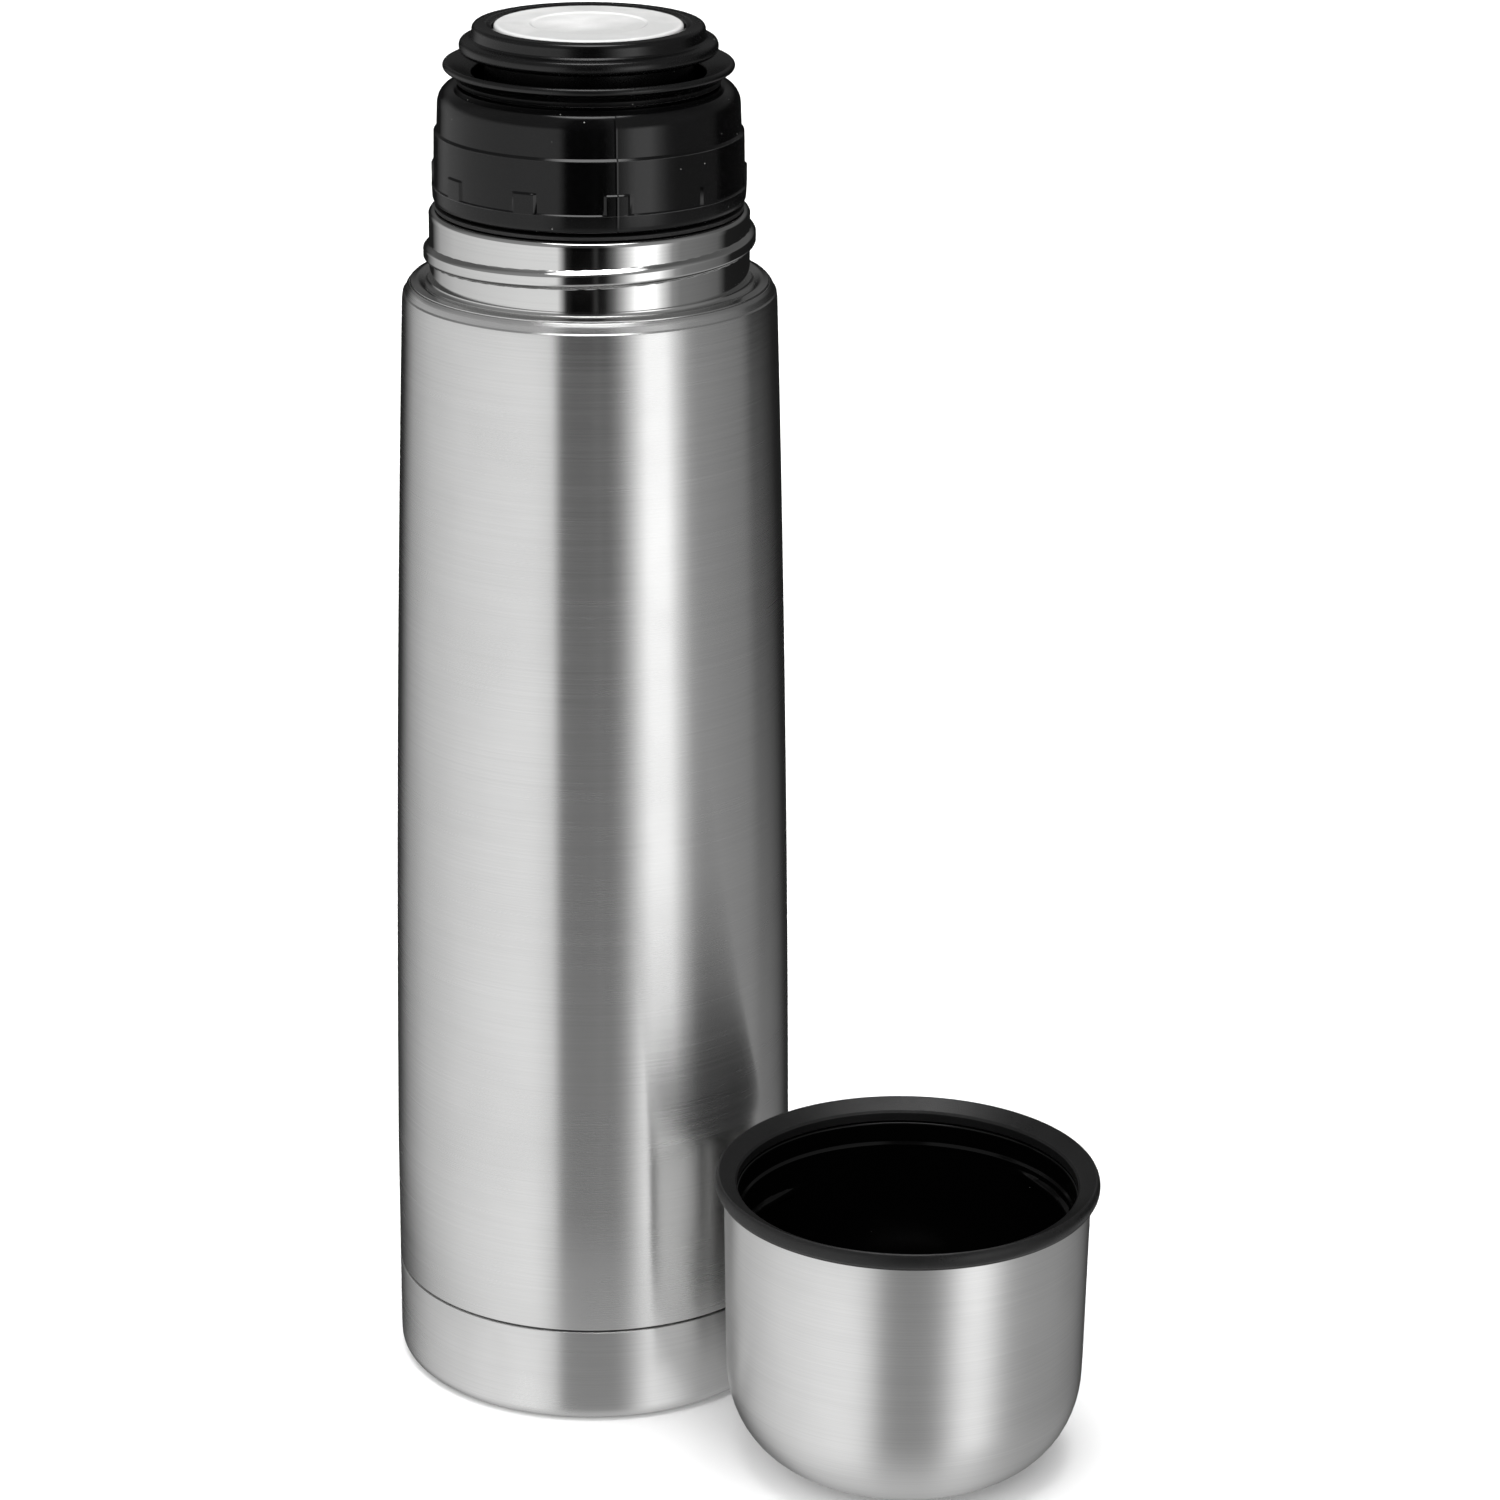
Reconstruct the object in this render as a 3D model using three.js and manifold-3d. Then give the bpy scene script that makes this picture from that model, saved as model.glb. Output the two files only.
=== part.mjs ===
// Stainless steel vacuum flask with a push-button pouring stopper and a drinking cup.
// Millimetres, +Z up along the flask. The origin is the centre of the base cap's underside.
// The flask stands on the floor plane, and its cup stands mouth up beside it.
import * as THREE from 'three';
import { mergeVertices } from 'three/addons/utils/BufferGeometryUtils.js';
import Module from 'manifold-3d';

const wasm = await Module();
wasm.setup();

// ---- Driving dimensions ----
const BODY_RADIUS = 35;
const TAPER_START = 40;          // the wall is straight below this height and tapers above it
const TAPER_LINEAR = 0.01034;
const TAPER_SQUARE = 0.000071;
const SHEET = 0.7;               // thickness of the flask's steel sheet
const FIT = 0.3;                 // gap between pieces that touch in the real flask

const SEAM_TOP = 17.6;           // lower edge of the visible shell, above the base cap
const SHOULDER_START = 193.2;
const SHOULDER_EDGE_RADIUS = 30.3;
const SHOULDER_EDGE_HEIGHT = 197.3;
const SPIGOT_RADIUS = 34;        // the shell's lower end, hidden inside the base cap
const SPIGOT_BOTTOM = 5.6;

const NECK_RADIUS = 27;
const MOUTH_HEIGHT = 209.6;
const THROAT_RADIUS = 24.2;
const THREAD_LEAD = 5.6;         // rise per turn of both threads
const BEAD_FRONT_HEIGHT = 203.6; // the rolled bead's middle at the front of the neck
const BEAD_HALF_HEIGHT = 1.7;
const BEAD_DEPTH = 1;
const STOPPER_THREAD_START = 196;
const STOPPER_THREAD_TURNS = 0.83;

const VACUUM_GAP = 3;
const VESSEL_SHEET = 0.6;
const VESSEL_BOTTOM = 10;

const PLUG_RADIUS = 23;
const PLUG_BOTTOM = 184;
const PLUG_BORE = 19;
const SKIRT_BOTTOM = 210.7;
const SKIRT_TOP = 230.6;
const PARTING_LINE = -78.1;      // where the skirt's two mould halves met, in degrees from +X
const COLLAR_BORE = 19.6;
const CAP_TUBE_RADIUS = 16.2;
const BUTTON_RADIUS = 15.78;
const BUTTON_TOP = 240.66;
const STEM_RADIUS = 2;
const HUB_BOTTOM = 217;
const HUB_TOP = 220;
const VALVE_SEAT_BOTTOM = 180.7;

const CUP_X = 55.04;
const CUP_Y = -42.73;
const CUP_WALL_RADIUS = 30.72;   // where the wall meets the rounded bottom corner
const CUP_CORNER_WIDTH = 13.65;
const CUP_CORNER_HEIGHT = 16.54;
const CUP_SHEET = 0.6;
const LINER_GAP = 0.4;
const LINER_THICKNESS = 1.8;
const CUP_SHELL_TOP = 49.6;

const FINE = 32;                 // facets round the large pieces and the threads
const MEDIUM = 24;               // facets round the button and what surrounds it
const COARSE = 20;               // facets round the hidden pieces
const SMALL = 12;                // facets round the small pieces

// ---- Materials ----
function standardMaterial(color, roughness, metalness) {
  return new THREE.MeshStandardMaterial({ color, roughness, metalness });
}

const brushedSteel = () => standardMaterial(0xb4b4b2, 0.34, 1);
const polishedSteel = () => standardMaterial(0xc4c4c2, 0.12, 1);
const vesselSteel = () => standardMaterial(0xa9a9a8, 0.25, 1);
const aluminiumFoil = () => standardMaterial(0xc6c8ca, 0.3, 1);
const getterMetal = () => standardMaterial(0x6d6a66, 0.6, 1);
const brazeMetal = () => standardMaterial(0xb59a5a, 0.45, 1);
const springSteel = () => standardMaterial(0x9c9c9c, 0.3, 1);
const glossBlack = () => standardMaterial(0x0b0b0c, 0.22, 0);
const satinBlack = () => standardMaterial(0x121213, 0.42, 0);
const mattBlack = () => standardMaterial(0x1a1a1b, 0.75, 0);
const whitePlastic = () => standardMaterial(0xf1f1ee, 0.25, 0);
const greySilicone = () => standardMaterial(0x8d9296, 0.7, 0);
const whiteSilicone = () => standardMaterial(0xdcdcd8, 0.65, 0);
const naturalPlastic = () => standardMaterial(0xcfd2d0, 0.4, 0);

// ---- Geometry helpers ----

// Turns a profile of [radius, height] points about +Z. The outside runs upwards.
function turned(profile, segments) {
  const points = profile.map(([radius, height]) => new THREE.Vector2(radius, height));
  return new THREE.LatheGeometry(points, segments).rotateX(Math.PI / 2);
}

// A ring's profile, closed back to its first point.
function turnedRing(profile, segments) {
  return turned([...profile, profile[0]], segments);
}

// Points along an elliptical arc in the profile plane, angles in degrees from the +radius direction.
function arc(centreRadius, centreHeight, width, height, from, to, steps) {
  const points = [];
  for (let i = 0; i <= steps; i += 1) {
    const angle = THREE.MathUtils.degToRad(from + ((to - from) * i) / steps);
    points.push([centreRadius + width * Math.cos(angle), centreHeight + height * Math.sin(angle)]);
  }
  return points;
}

// Points of a function of height, at evenly spaced heights.
function along(radiusAt, from, to, steps) {
  const points = [];
  for (let i = 0; i <= steps; i += 1) {
    const height = from + ((to - from) * i) / steps;
    points.push([radiusAt(height), height]);
  }
  return points;
}

function meshGeometry(positions, indices) {
  const geometry = new THREE.BufferGeometry();
  geometry.setAttribute('position', new THREE.Float32BufferAttribute(positions, 3));
  geometry.setIndex(indices);
  return geometry;
}

// Sweeps a section round a right-handed helix. section(k) gives its [radial, height] points,
// counter-clockwise, where k falls to 0 at both ends over the fade length.
function helicalSolid({ section, radius, lead, startAngle, startHeight, turns, stepsPerTurn, fade }) {
  const steps = Math.ceil(turns * stepsPerTurn);
  const positions = [];
  for (let i = 0; i <= steps; i += 1) {
    const turn = (turns * i) / steps;
    const angle = startAngle + turn * 2 * Math.PI;
    const end = Math.min(turn, turns - turn);
    const k = fade > 0 ? Math.sin((Math.PI / 2) * Math.min(1, end / fade)) : 1;
    for (const [radial, height] of section(k)) {
      const r = radius + radial;
      positions.push(r * Math.cos(angle), r * Math.sin(angle), startHeight + lead * turn + height);
    }
  }
  const count = section(1).length;
  const indices = [];
  for (let i = 0; i < steps; i += 1) {
    for (let j = 0; j < count; j += 1) {
      const a = i * count + j;
      const d = i * count + ((j + 1) % count);
      indices.push(a, a + count, d + count, a, d + count, d);
    }
  }
  const last = steps * count;
  for (let j = 1; j < count - 1; j += 1) {
    indices.push(0, j, j + 1, last, last + j + 1, last + j);
  }
  return meshGeometry(positions, indices);
}

// A thread's rounded section. side is 1 for a thread outside a wall and -1 for one inside a bore.
function threadSection(depth, halfHeight, bury, side) {
  return (k) => {
    const points = [
      [-bury, -halfHeight],
      [0.55 * depth * k, -0.75 * halfHeight],
      [depth * k, -0.3 * halfHeight],
      [depth * k, 0.3 * halfHeight],
      [0.55 * depth * k, 0.75 * halfHeight],
      [-bury, halfHeight],
    ].map(([radial, height]) => [side * radial, height]);
    return side > 0 ? points : points.reverse();
  };
}

// A round wire's section.
function wireSection(wireRadius, sides) {
  const points = [];
  for (let i = 0; i < sides; i += 1) {
    const angle = (i * 2 * Math.PI) / sides;
    points.push([wireRadius * Math.cos(angle), wireRadius * Math.sin(angle)]);
  }
  return () => points;
}

function toManifold(geometry) {
  const bare = geometry.clone();
  bare.deleteAttribute('normal');
  bare.deleteAttribute('uv');
  const merged = mergeVertices(bare, 1e-4);
  const mesh = new wasm.Mesh({
    numProp: 3,
    vertProperties: new Float32Array(merged.attributes.position.array),
    triVerts: new Uint32Array(merged.index.array),
  });
  mesh.merge();
  return new wasm.Manifold(mesh);
}

function fromManifold(solid) {
  const mesh = solid.getMesh();
  const geometry = meshGeometry(Array.from(mesh.vertProperties), Array.from(mesh.triVerts));
  geometry.computeVertexNormals();
  return geometry;
}

function joined(first, ...others) {
  return fromManifold(others.reduce((solid, other) => solid.add(toManifold(other)), toManifold(first)));
}

// A block standing on a radius of the flask, at an angle in degrees from +X.
function radialBlock(innerRadius, outerRadius, width, bottom, top, angle) {
  const block = new THREE.BoxGeometry(outerRadius - innerRadius, width, top - bottom);
  block.translate((innerRadius + outerRadius) / 2, 0, (bottom + top) / 2);
  return block.rotateZ(THREE.MathUtils.degToRad(angle));
}

// ---- Flask ----

// Outside radius of the flask's wall at a height.
function wallRadius(height) {
  const above = Math.max(0, height - TAPER_START);
  return BODY_RADIUS - TAPER_LINEAR * above - TAPER_SQUARE * above * above;
}

function outerShell() {
  const cornerWidth = 2.6;
  const cornerHeight = 4.2;
  const topRadius = wallRadius(SHOULDER_START);
  const cornerCentre = topRadius - cornerWidth;
  const outside = [
    [SPIGOT_RADIUS, SPIGOT_BOTTOM],
    [SPIGOT_RADIUS, SEAM_TOP - 0.4],
    [BODY_RADIUS, SEAM_TOP],
    ...along(wallRadius, TAPER_START, SHOULDER_START, 4),
    ...arc(cornerCentre, SHOULDER_START, cornerWidth, cornerHeight, 20, 52, 2),
    [SHOULDER_EDGE_RADIUS, SHOULDER_EDGE_HEIGHT],
  ];
  const inside = [
    [SHOULDER_EDGE_RADIUS, SHOULDER_EDGE_HEIGHT - SHEET],
    ...arc(cornerCentre, SHOULDER_START, cornerWidth - SHEET, cornerHeight - SHEET, 50, 0, 1),
    ...along((height) => wallRadius(height) - SHEET, SHOULDER_START - 50, TAPER_START, 2),
    [BODY_RADIUS - SHEET, SEAM_TOP + 0.6],
    [SPIGOT_RADIUS - SHEET, SEAM_TOP],
    [SPIGOT_RADIUS - SHEET, SPIGOT_BOTTOM],
  ];
  return turnedRing([...outside, ...inside], FINE);
}

// The polished neck, with the bead that the cup screws on to and a mouth rolled over the throat.
function neckRing() {
  const innerWall = NECK_RADIUS - SHEET;
  const innerTop = MOUTH_HEIGHT - SHEET;
  const profile = [
    [SHOULDER_EDGE_RADIUS - FIT, SHOULDER_EDGE_HEIGHT - SHEET],
    [SHOULDER_EDGE_RADIUS - FIT, SHOULDER_EDGE_HEIGHT + 0.05],
    [28.9, 197.7],
    ...arc(28.3, 199.1, NECK_RADIUS - 28.3, -1.4, 65, 0, 2),
    [NECK_RADIUS, MOUTH_HEIGHT - 0.7],
    ...arc(NECK_RADIUS - 0.6, MOUTH_HEIGHT - 0.6, 0.65, 0.6, 20, 90, 2),
    ...arc(THROAT_RADIUS + 0.5, MOUTH_HEIGHT - 0.5, 0.5, 0.5, 90, 180, 1),
    [THROAT_RADIUS, MOUTH_HEIGHT - 2.6],
    [THROAT_RADIUS + SHEET, MOUTH_HEIGHT - 2.6],
    [THROAT_RADIUS + SHEET, innerTop],
    [innerWall, innerTop],
    [innerWall, 198.6],
    [27, 197.3],
    [28.4, 196.9],
  ];
  const frontTurn = 0.53;
  const bead = helicalSolid({
    section: threadSection(BEAD_DEPTH, BEAD_HALF_HEIGHT, 0.35, 1),
    radius: NECK_RADIUS,
    lead: THREAD_LEAD,
    startAngle: -Math.PI / 2 - frontTurn * 2 * Math.PI,
    startHeight: BEAD_FRONT_HEIGHT - frontTurn * THREAD_LEAD,
    turns: 1.08,
    stepsPerTurn: FINE,
    fade: 0.06,
  });
  return joined(turnedRing(profile, FINE), bead);
}

// Outside radius of the inner bottle at a height below its shoulder.
function vesselRadius(height) {
  return wallRadius(height) - SHEET - VACUUM_GAP;
}

// The inner bottle. Its throat carries the thread that holds the stopper.
function innerVessel() {
  const shoulder = 178;
  const cornerTop = VESSEL_BOTTOM + 8;
  const throatTop = MOUTH_HEIGHT - 2.6 - FIT;
  const throatOutside = THROAT_RADIUS + VESSEL_SHEET;
  const inner = (height) => vesselRadius(height) - VESSEL_SHEET;
  const profile = [
    [0, VESSEL_BOTTOM],
    ...arc(vesselRadius(cornerTop) - 8, cornerTop, 8, 8, -90, -10, 2),
    ...along(vesselRadius, TAPER_START, shoulder, 2),
    [27.3, 183.5],
    [25.4, 188.2],
    [throatOutside, 190.6],
    [throatOutside, throatTop],
    [THROAT_RADIUS, throatTop],
    [THROAT_RADIUS, 190.4],
    [24.9, 187.8],
    [26.7, 183.2],
    ...along(inner, shoulder, TAPER_START, 2),
    ...arc(inner(cornerTop) - 7.4, cornerTop, 7.4, 7.4, -10, -90, 2),
    [0, VESSEL_BOTTOM + VESSEL_SHEET],
  ];
  const ridge = helicalSolid({
    section: threadSection(0.9, 1.15, 0.3, -1),
    radius: THROAT_RADIUS,
    lead: THREAD_LEAD,
    startAngle: 0,
    startHeight: STOPPER_THREAD_START,
    turns: STOPPER_THREAD_TURNS,
    stepsPerTurn: MEDIUM,
    fade: 0.05,
  });
  return joined(turned(profile, FINE), ridge);
}

// Foil wrapped round the inner bottle. It is open at both ends and reflects radiated heat.
function radiationFoil() {
  const bottom = 24;
  const top = 172;
  const inside = (height) => vesselRadius(height) + 0.5;
  const outside = (height) => inside(height) + 0.3;
  return turnedRing([...along(outside, bottom, top, 2), ...along(inside, top, bottom, 2)], FINE);
}

// The plate that closes the vacuum jacket, with a raised dimple round its pumping hole.
function vacuumBase() {
  const rim = SPIGOT_RADIUS - SHEET - FIT;
  const floor = 5.4;
  return turnedRing([
    [1.6, floor + 1.2],
    [4.5, floor + 1.2],
    [6, floor],
    [rim - 0.6, floor],
    [rim, floor + 0.6],
    [rim, floor + 4],
    [rim - SHEET, floor + 4],
    [rim - SHEET, floor + SHEET],
    [6.3, floor + SHEET],
    [4.8, floor + 1.2 + SHEET],
    [1.6, floor + 1.2 + SHEET],
  ], COARSE);
}

// The pill that soaks up stray gas in the jacket.
function getter() {
  return turned([[0, 6.4], [4.6, 6.4], [5, 6.8], [5, 8.1], [4.6, 8.5], [0, 8.5]], SMALL).translate(16, 6, 0);
}

// The drop of braze that closes the pumping hole.
function vacuumSeal() {
  return turned([[0, 4.6], [2.4, 4.8], [3.3, 5.5], [3.1, 6.3], [1.3, 6.3], [1.3, 7.2], [0, 7.2]], SMALL);
}

function baseCap() {
  const top = SEAM_TOP - 0.4;
  const floor = 1.9;
  const innerWall = SPIGOT_RADIUS + FIT;
  return turned([
    [0, 0],
    [12, 0],
    [12.8, 1],
    [27.6, 1],
    [28.4, 0],
    ...arc(33.96, 2.5, 0.9, 2.5, -90, 0, 3),
    [BODY_RADIUS, top - 0.15],
    [BODY_RADIUS - 0.15, top],
    [innerWall, top],
    [innerWall, floor + 1],
    [innerWall - 1, floor],
    [0, floor],
  ], FINE);
}

// ---- Stopper ----

// One of the small raised blocks round the skirt's grip band.
function skirtBlock(angle) {
  return radialBlock(25.6, 26.45, 4.1, 213.6, 217.3, angle);
}

// Middles of the blocks, in degrees from the parting line that one of them stands on. The step to
// its right-hand neighbour is longer than the two steps on its left.
function blockAngles() {
  const angles = [-68, -34, 0];
  for (let i = 0; i <= 6; i += 1) {
    angles.push(39 + 36 * i);
  }
  return angles.map((angle) => PARTING_LINE + angle);
}

// One of the webs that carry the hub in the stopper's bore.
function bottomWeb(angle) {
  return radialBlock(6.5, PLUG_BORE + 0.4, 2.4, HUB_BOTTOM, HUB_TOP, angle);
}

// One of the ribs in the bore that the cap's tube stands on.
function capRest(angle) {
  return radialBlock(15.7, PLUG_BORE + 0.4, 2.4, HUB_TOP - 0.5, 226.2, angle);
}

// Black body of the stopper: a plug in the throat, a wide skirt over the mouth and a pouring bore.
function stopperHousing() {
  const shell = turnedRing([
    [PLUG_BORE, PLUG_BOTTOM],
    [PLUG_RADIUS - 0.6, PLUG_BOTTOM],
    [PLUG_RADIUS, PLUG_BOTTOM + 0.6],
    [PLUG_RADIUS, SKIRT_BOTTOM],
    ...arc(25.2, SKIRT_BOTTOM + 1.3, 1.25, 1.3, -90, 0, 2),
    [26.42, 213.9],
    [26.12, 214.05],
    [25.95, 222.85],
    [25.47, 223.15],
    [25.3, 227.5],
    ...arc(22.3, 227.5, 3, SKIRT_TOP - 227.5, 25, 90, 3),
    [COLLAR_BORE + 1.3, SKIRT_TOP],
    [COLLAR_BORE + 1.3, 225.7],
    [PLUG_BORE, 225.7],
  ], FINE);
  const hub = turnedRing([
    [STEM_RADIUS + 0.4, HUB_BOTTOM],
    [8, HUB_BOTTOM],
    [8, HUB_TOP],
    [STEM_RADIUS + 0.4, HUB_TOP],
  ], SMALL);
  const rib = helicalSolid({
    section: threadSection(0.9, 1.15, 0.3, 1),
    radius: PLUG_RADIUS,
    lead: THREAD_LEAD,
    startAngle: 0,
    startHeight: STOPPER_THREAD_START - THREAD_LEAD / 2,
    turns: STOPPER_THREAD_TURNS,
    stepsPerTurn: MEDIUM,
    fade: 0.05,
  });
  const additions = [hub, rib];
  const webs = 3;
  for (let i = 0; i < webs; i += 1) {
    additions.push(bottomWeb((i * 360) / webs + 30));
    additions.push(capRest((i * 360) / webs + 30));
  }
  additions.push(...blockAngles().map(skirtBlock));
  return joined(shell, ...additions);
}

// Thin flared lip that the drink runs over. Its tube is pressed into the top of the housing.
function pourLip() {
  return turnedRing([
    [COLLAR_BORE, 226],
    [COLLAR_BORE + 1, 226],
    [COLLAR_BORE + 1, SKIRT_TOP + FIT],
    [22, SKIRT_TOP + FIT],
    [22.3, 231.9],
    [23.6, 232.9],
    ...arc(23.65, 233.85, 0.7, 0.7, -50, 110, 3),
    [22.2, 233.6],
    [COLLAR_BORE, 232.6],
  ], FINE);
}

// Two-tier black cap round the button. Its tube guides the button.
function stopperCap() {
  const tubeOutside = CAP_TUBE_RADIUS + 1.2;
  return turnedRing([
    [CAP_TUBE_RADIUS, 226.5],
    [tubeOutside, 226.5],
    [tubeOutside, 235.5],
    [20.6, 235.7],
    ...arc(20.95, 237, 0.65, 1.1, -60, 70, 3),
    [19.9, 238.35],
    [19.55, 238.6],
    [19.45, 239.5],
    ...arc(18.7, 239.75, 0.75, 0.9, 20, 90, 2),
    [16.9, 240.65],
    [CAP_TUBE_RADIUS, 240.2],
  ], MEDIUM);
}

// Ring that the valve closes against, at the bottom of the plug.
function valveSeat() {
  return turnedRing([
    [14.5, VALVE_SEAT_BOTTOM],
    [22.2, VALVE_SEAT_BOTTOM],
    [22.6, VALVE_SEAT_BOTTOM + 0.4],
    [22.6, PLUG_BOTTOM - FIT],
    [17, PLUG_BOTTOM - FIT],
    [14.5, VALVE_SEAT_BOTTOM + 1.2],
  ], COARSE);
}

// Seal between the stopper and the mouth: a thin flange with a sleeve that reaches into the throat.
function neckGasket() {
  const bore = PLUG_RADIUS + FIT;
  return turnedRing([
    [bore, 205.6],
    [23.65, 205.6],
    [23.9, 206.2],
    [23.9, MOUTH_HEIGHT + 0.2],
    [26, MOUTH_HEIGHT + 0.2],
    [26, SKIRT_BOTTOM - FIT],
    [bore, SKIRT_BOTTOM - FIT],
  ], COARSE);
}

// ---- Push button and valve ----

function pushButton() {
  const bottom = 231;
  const skirtInside = 12.9;
  const underside = 238.7;
  const grooveFloor = 14.3;
  return turned([
    [0, 236.9],
    [STEM_RADIUS + FIT, 236.9],
    [STEM_RADIUS + FIT, 230],
    [4.6, 230],
    [4.6, underside],
    [skirtInside, underside],
    [skirtInside, bottom],
    [BUTTON_RADIUS, bottom],
    [BUTTON_RADIUS, 232.6],
    [grooveFloor, 232.6],
    [grooveFloor, 234.8],
    [BUTTON_RADIUS, 234.8],
    [BUTTON_RADIUS, BUTTON_TOP - 0.6],
    [BUTTON_RADIUS - 0.2, BUTTON_TOP - 0.2],
    [BUTTON_RADIUS - 0.7, BUTTON_TOP],
    [9.9, BUTTON_TOP],
    [9.3, BUTTON_TOP - 0.22],
    [0, BUTTON_TOP - 0.3],
  ], MEDIUM);
}

// Ring in the button's groove. It keeps the drink out from under the cap.
function buttonSeal() {
  return turnedRing(arc(15.25, 233.7, 0.65, 0.65, 0, 300, 5), MEDIUM);
}

function valveStem() {
  return turned([[0, 172], [STEM_RADIUS, 172], [STEM_RADIUS, 236.6], [0, 236.6]], SMALL);
}

function valveHead() {
  const bore = STEM_RADIUS + FIT;
  return turnedRing([
    [bore, 174.9],
    [15, 174.9],
    [18, 176.4],
    [18, 177.6],
    [12.9, 177.6],
    [12.2, 179.4],
    [bore, 179.4],
  ], COARSE);
}

function valveGasket() {
  return turnedRing([
    [13.5, 177.9],
    [18.2, 177.9],
    [18.2, 178.9],
    [16.6, VALVE_SEAT_BOTTOM - FIT],
    [15.4, VALVE_SEAT_BOTTOM - FIT],
    [13.5, 179.2],
  ], COARSE);
}

// Hexagonal nut that holds the valve head on the stem.
function stemNut() {
  const bore = STEM_RADIUS + FIT;
  const hexagon = 6;
  return turnedRing([[bore, 171.6], [4.3, 171.6], [4.3, 174.6], [bore, 174.6]], hexagon);
}

// Compression spring between the housing's hub and the underside of the button.
function buttonSpring() {
  const wire = 0.5;
  const coilRadius = 6.1;
  const bottom = HUB_TOP + FIT + wire;
  const top = 238.7 - FIT - wire;
  const turns = 5.5;
  return helicalSolid({
    section: wireSection(wire, 5),
    radius: coilRadius,
    lead: (top - bottom) / turns,
    startAngle: 0,
    startHeight: bottom,
    turns,
    stepsPerTurn: SMALL,
    fade: 0,
  });
}

// ---- Cup ----

// The outside profile of the cup's rounded corner and wall, moved inwards by an offset.
function cupOutline(inset, top, cornerSteps) {
  const flare = (height) => CUP_WALL_RADIUS + 0.017 * (height - CUP_CORNER_HEIGHT) - inset + 0.05;
  return [
    ...arc(
      CUP_WALL_RADIUS - CUP_CORNER_WIDTH,
      CUP_CORNER_HEIGHT,
      CUP_CORNER_WIDTH - inset,
      CUP_CORNER_HEIGHT - inset,
      -90,
      0,
      cornerSteps,
    ),
    [flare(24), 24],
    [flare(top), top],
  ];
}

function cupShell() {
  const recess = 0.5;
  return turned([
    [0, recess],
    [13.4, recess],
    [14.2, 0],
    ...cupOutline(0, CUP_SHELL_TOP, 5),
    ...cupOutline(CUP_SHEET, CUP_SHELL_TOP, 4).reverse(),
    [14.2, CUP_SHEET],
    [13.2, recess + CUP_SHEET],
    [0, recess + CUP_SHEET],
  ], FINE);
}

// Black plastic lining of the cup, with the thread that fits the bead on the neck.
function cupLiner() {
  const outsideInset = CUP_SHEET + LINER_GAP;
  const insideInset = outsideInset + LINER_THICKNESS - 0.1;
  const floor = outsideInset + LINER_THICKNESS;
  const top = 48.3;
  const lining = turned([
    [0, 1.5],
    [12.6, 1.5],
    [14, outsideInset],
    ...cupOutline(outsideInset, top, 4),
    [28.9, top],
    [28.9, 44.7],
    [28.5, 44.3],
    ...cupOutline(insideInset, 40, 4).reverse(),
    [0, floor],
  ], FINE);
  const thread = helicalSolid({
    section: threadSection(0.85, 1, 0.35, -1),
    radius: 28.45,
    lead: THREAD_LEAD,
    startAngle: 0.69 * Math.PI,
    startHeight: 38.2,
    turns: 0.8,
    stepsPerTurn: MEDIUM,
    fade: 0.06,
  });
  return joined(lining, thread);
}

// Matt black rim that overhangs the steel and clips over its edge. It slopes down towards the drink.
function cupRim() {
  const grooveInside = 30.35;
  const grooveOutside = 31.65;
  const lipBottom = 48.9;
  return turnedRing([
    [29.1, 48.6],
    [grooveInside, 48.6],
    [grooveInside, CUP_SHELL_TOP + FIT],
    [grooveOutside, CUP_SHELL_TOP + FIT],
    [grooveOutside, lipBottom],
    [32.2, lipBottom],
    ...arc(31.95, 50.6, 0.95, 1.55, -60, 65, 4),
    [29.5, 50.5],
    [29.15, 50.1],
  ], FINE);
}

// ---- Assembly ----
function addPart(parent, name, geometry, material) {
  const mesh = new THREE.Mesh(geometry, material);
  mesh.name = name;
  parent.add(mesh);
}

const vacuumFlask = new THREE.Group();
vacuumFlask.name = 'vacuum_flask';

addPart(vacuumFlask, 'outer_shell', outerShell(), brushedSteel());
addPart(vacuumFlask, 'neck_ring', neckRing(), polishedSteel());
addPart(vacuumFlask, 'inner_vessel', innerVessel(), vesselSteel());
addPart(vacuumFlask, 'radiation_foil', radiationFoil(), aluminiumFoil());
addPart(vacuumFlask, 'vacuum_base', vacuumBase(), vesselSteel());
addPart(vacuumFlask, 'getter', getter(), getterMetal());
addPart(vacuumFlask, 'vacuum_seal', vacuumSeal(), brazeMetal());
addPart(vacuumFlask, 'base_cap', baseCap(), brushedSteel());

const stopper = new THREE.Group();
stopper.name = 'stopper';
addPart(stopper, 'stopper_housing', stopperHousing(), glossBlack());
addPart(stopper, 'pour_lip', pourLip(), satinBlack());
addPart(stopper, 'stopper_cap', stopperCap(), satinBlack());
addPart(stopper, 'valve_seat', valveSeat(), naturalPlastic());
addPart(stopper, 'neck_gasket', neckGasket(), mattBlack());
addPart(stopper, 'push_button', pushButton(), whitePlastic());
addPart(stopper, 'button_seal', buttonSeal(), whiteSilicone());
addPart(stopper, 'button_spring', buttonSpring(), springSteel());
addPart(stopper, 'valve_stem', valveStem(), naturalPlastic());
addPart(stopper, 'valve_head', valveHead(), naturalPlastic());
addPart(stopper, 'valve_gasket', valveGasket(), greySilicone());
addPart(stopper, 'stem_nut', stemNut(), springSteel());
vacuumFlask.add(stopper);

const cup = new THREE.Group();
cup.name = 'cup';
cup.position.set(CUP_X, CUP_Y, 0);
addPart(cup, 'cup_shell', cupShell(), brushedSteel());
addPart(cup, 'cup_liner', cupLiner(), glossBlack());
addPart(cup, 'cup_rim', cupRim(), mattBlack());
vacuumFlask.add(cup);

export default vacuumFlask;
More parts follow.
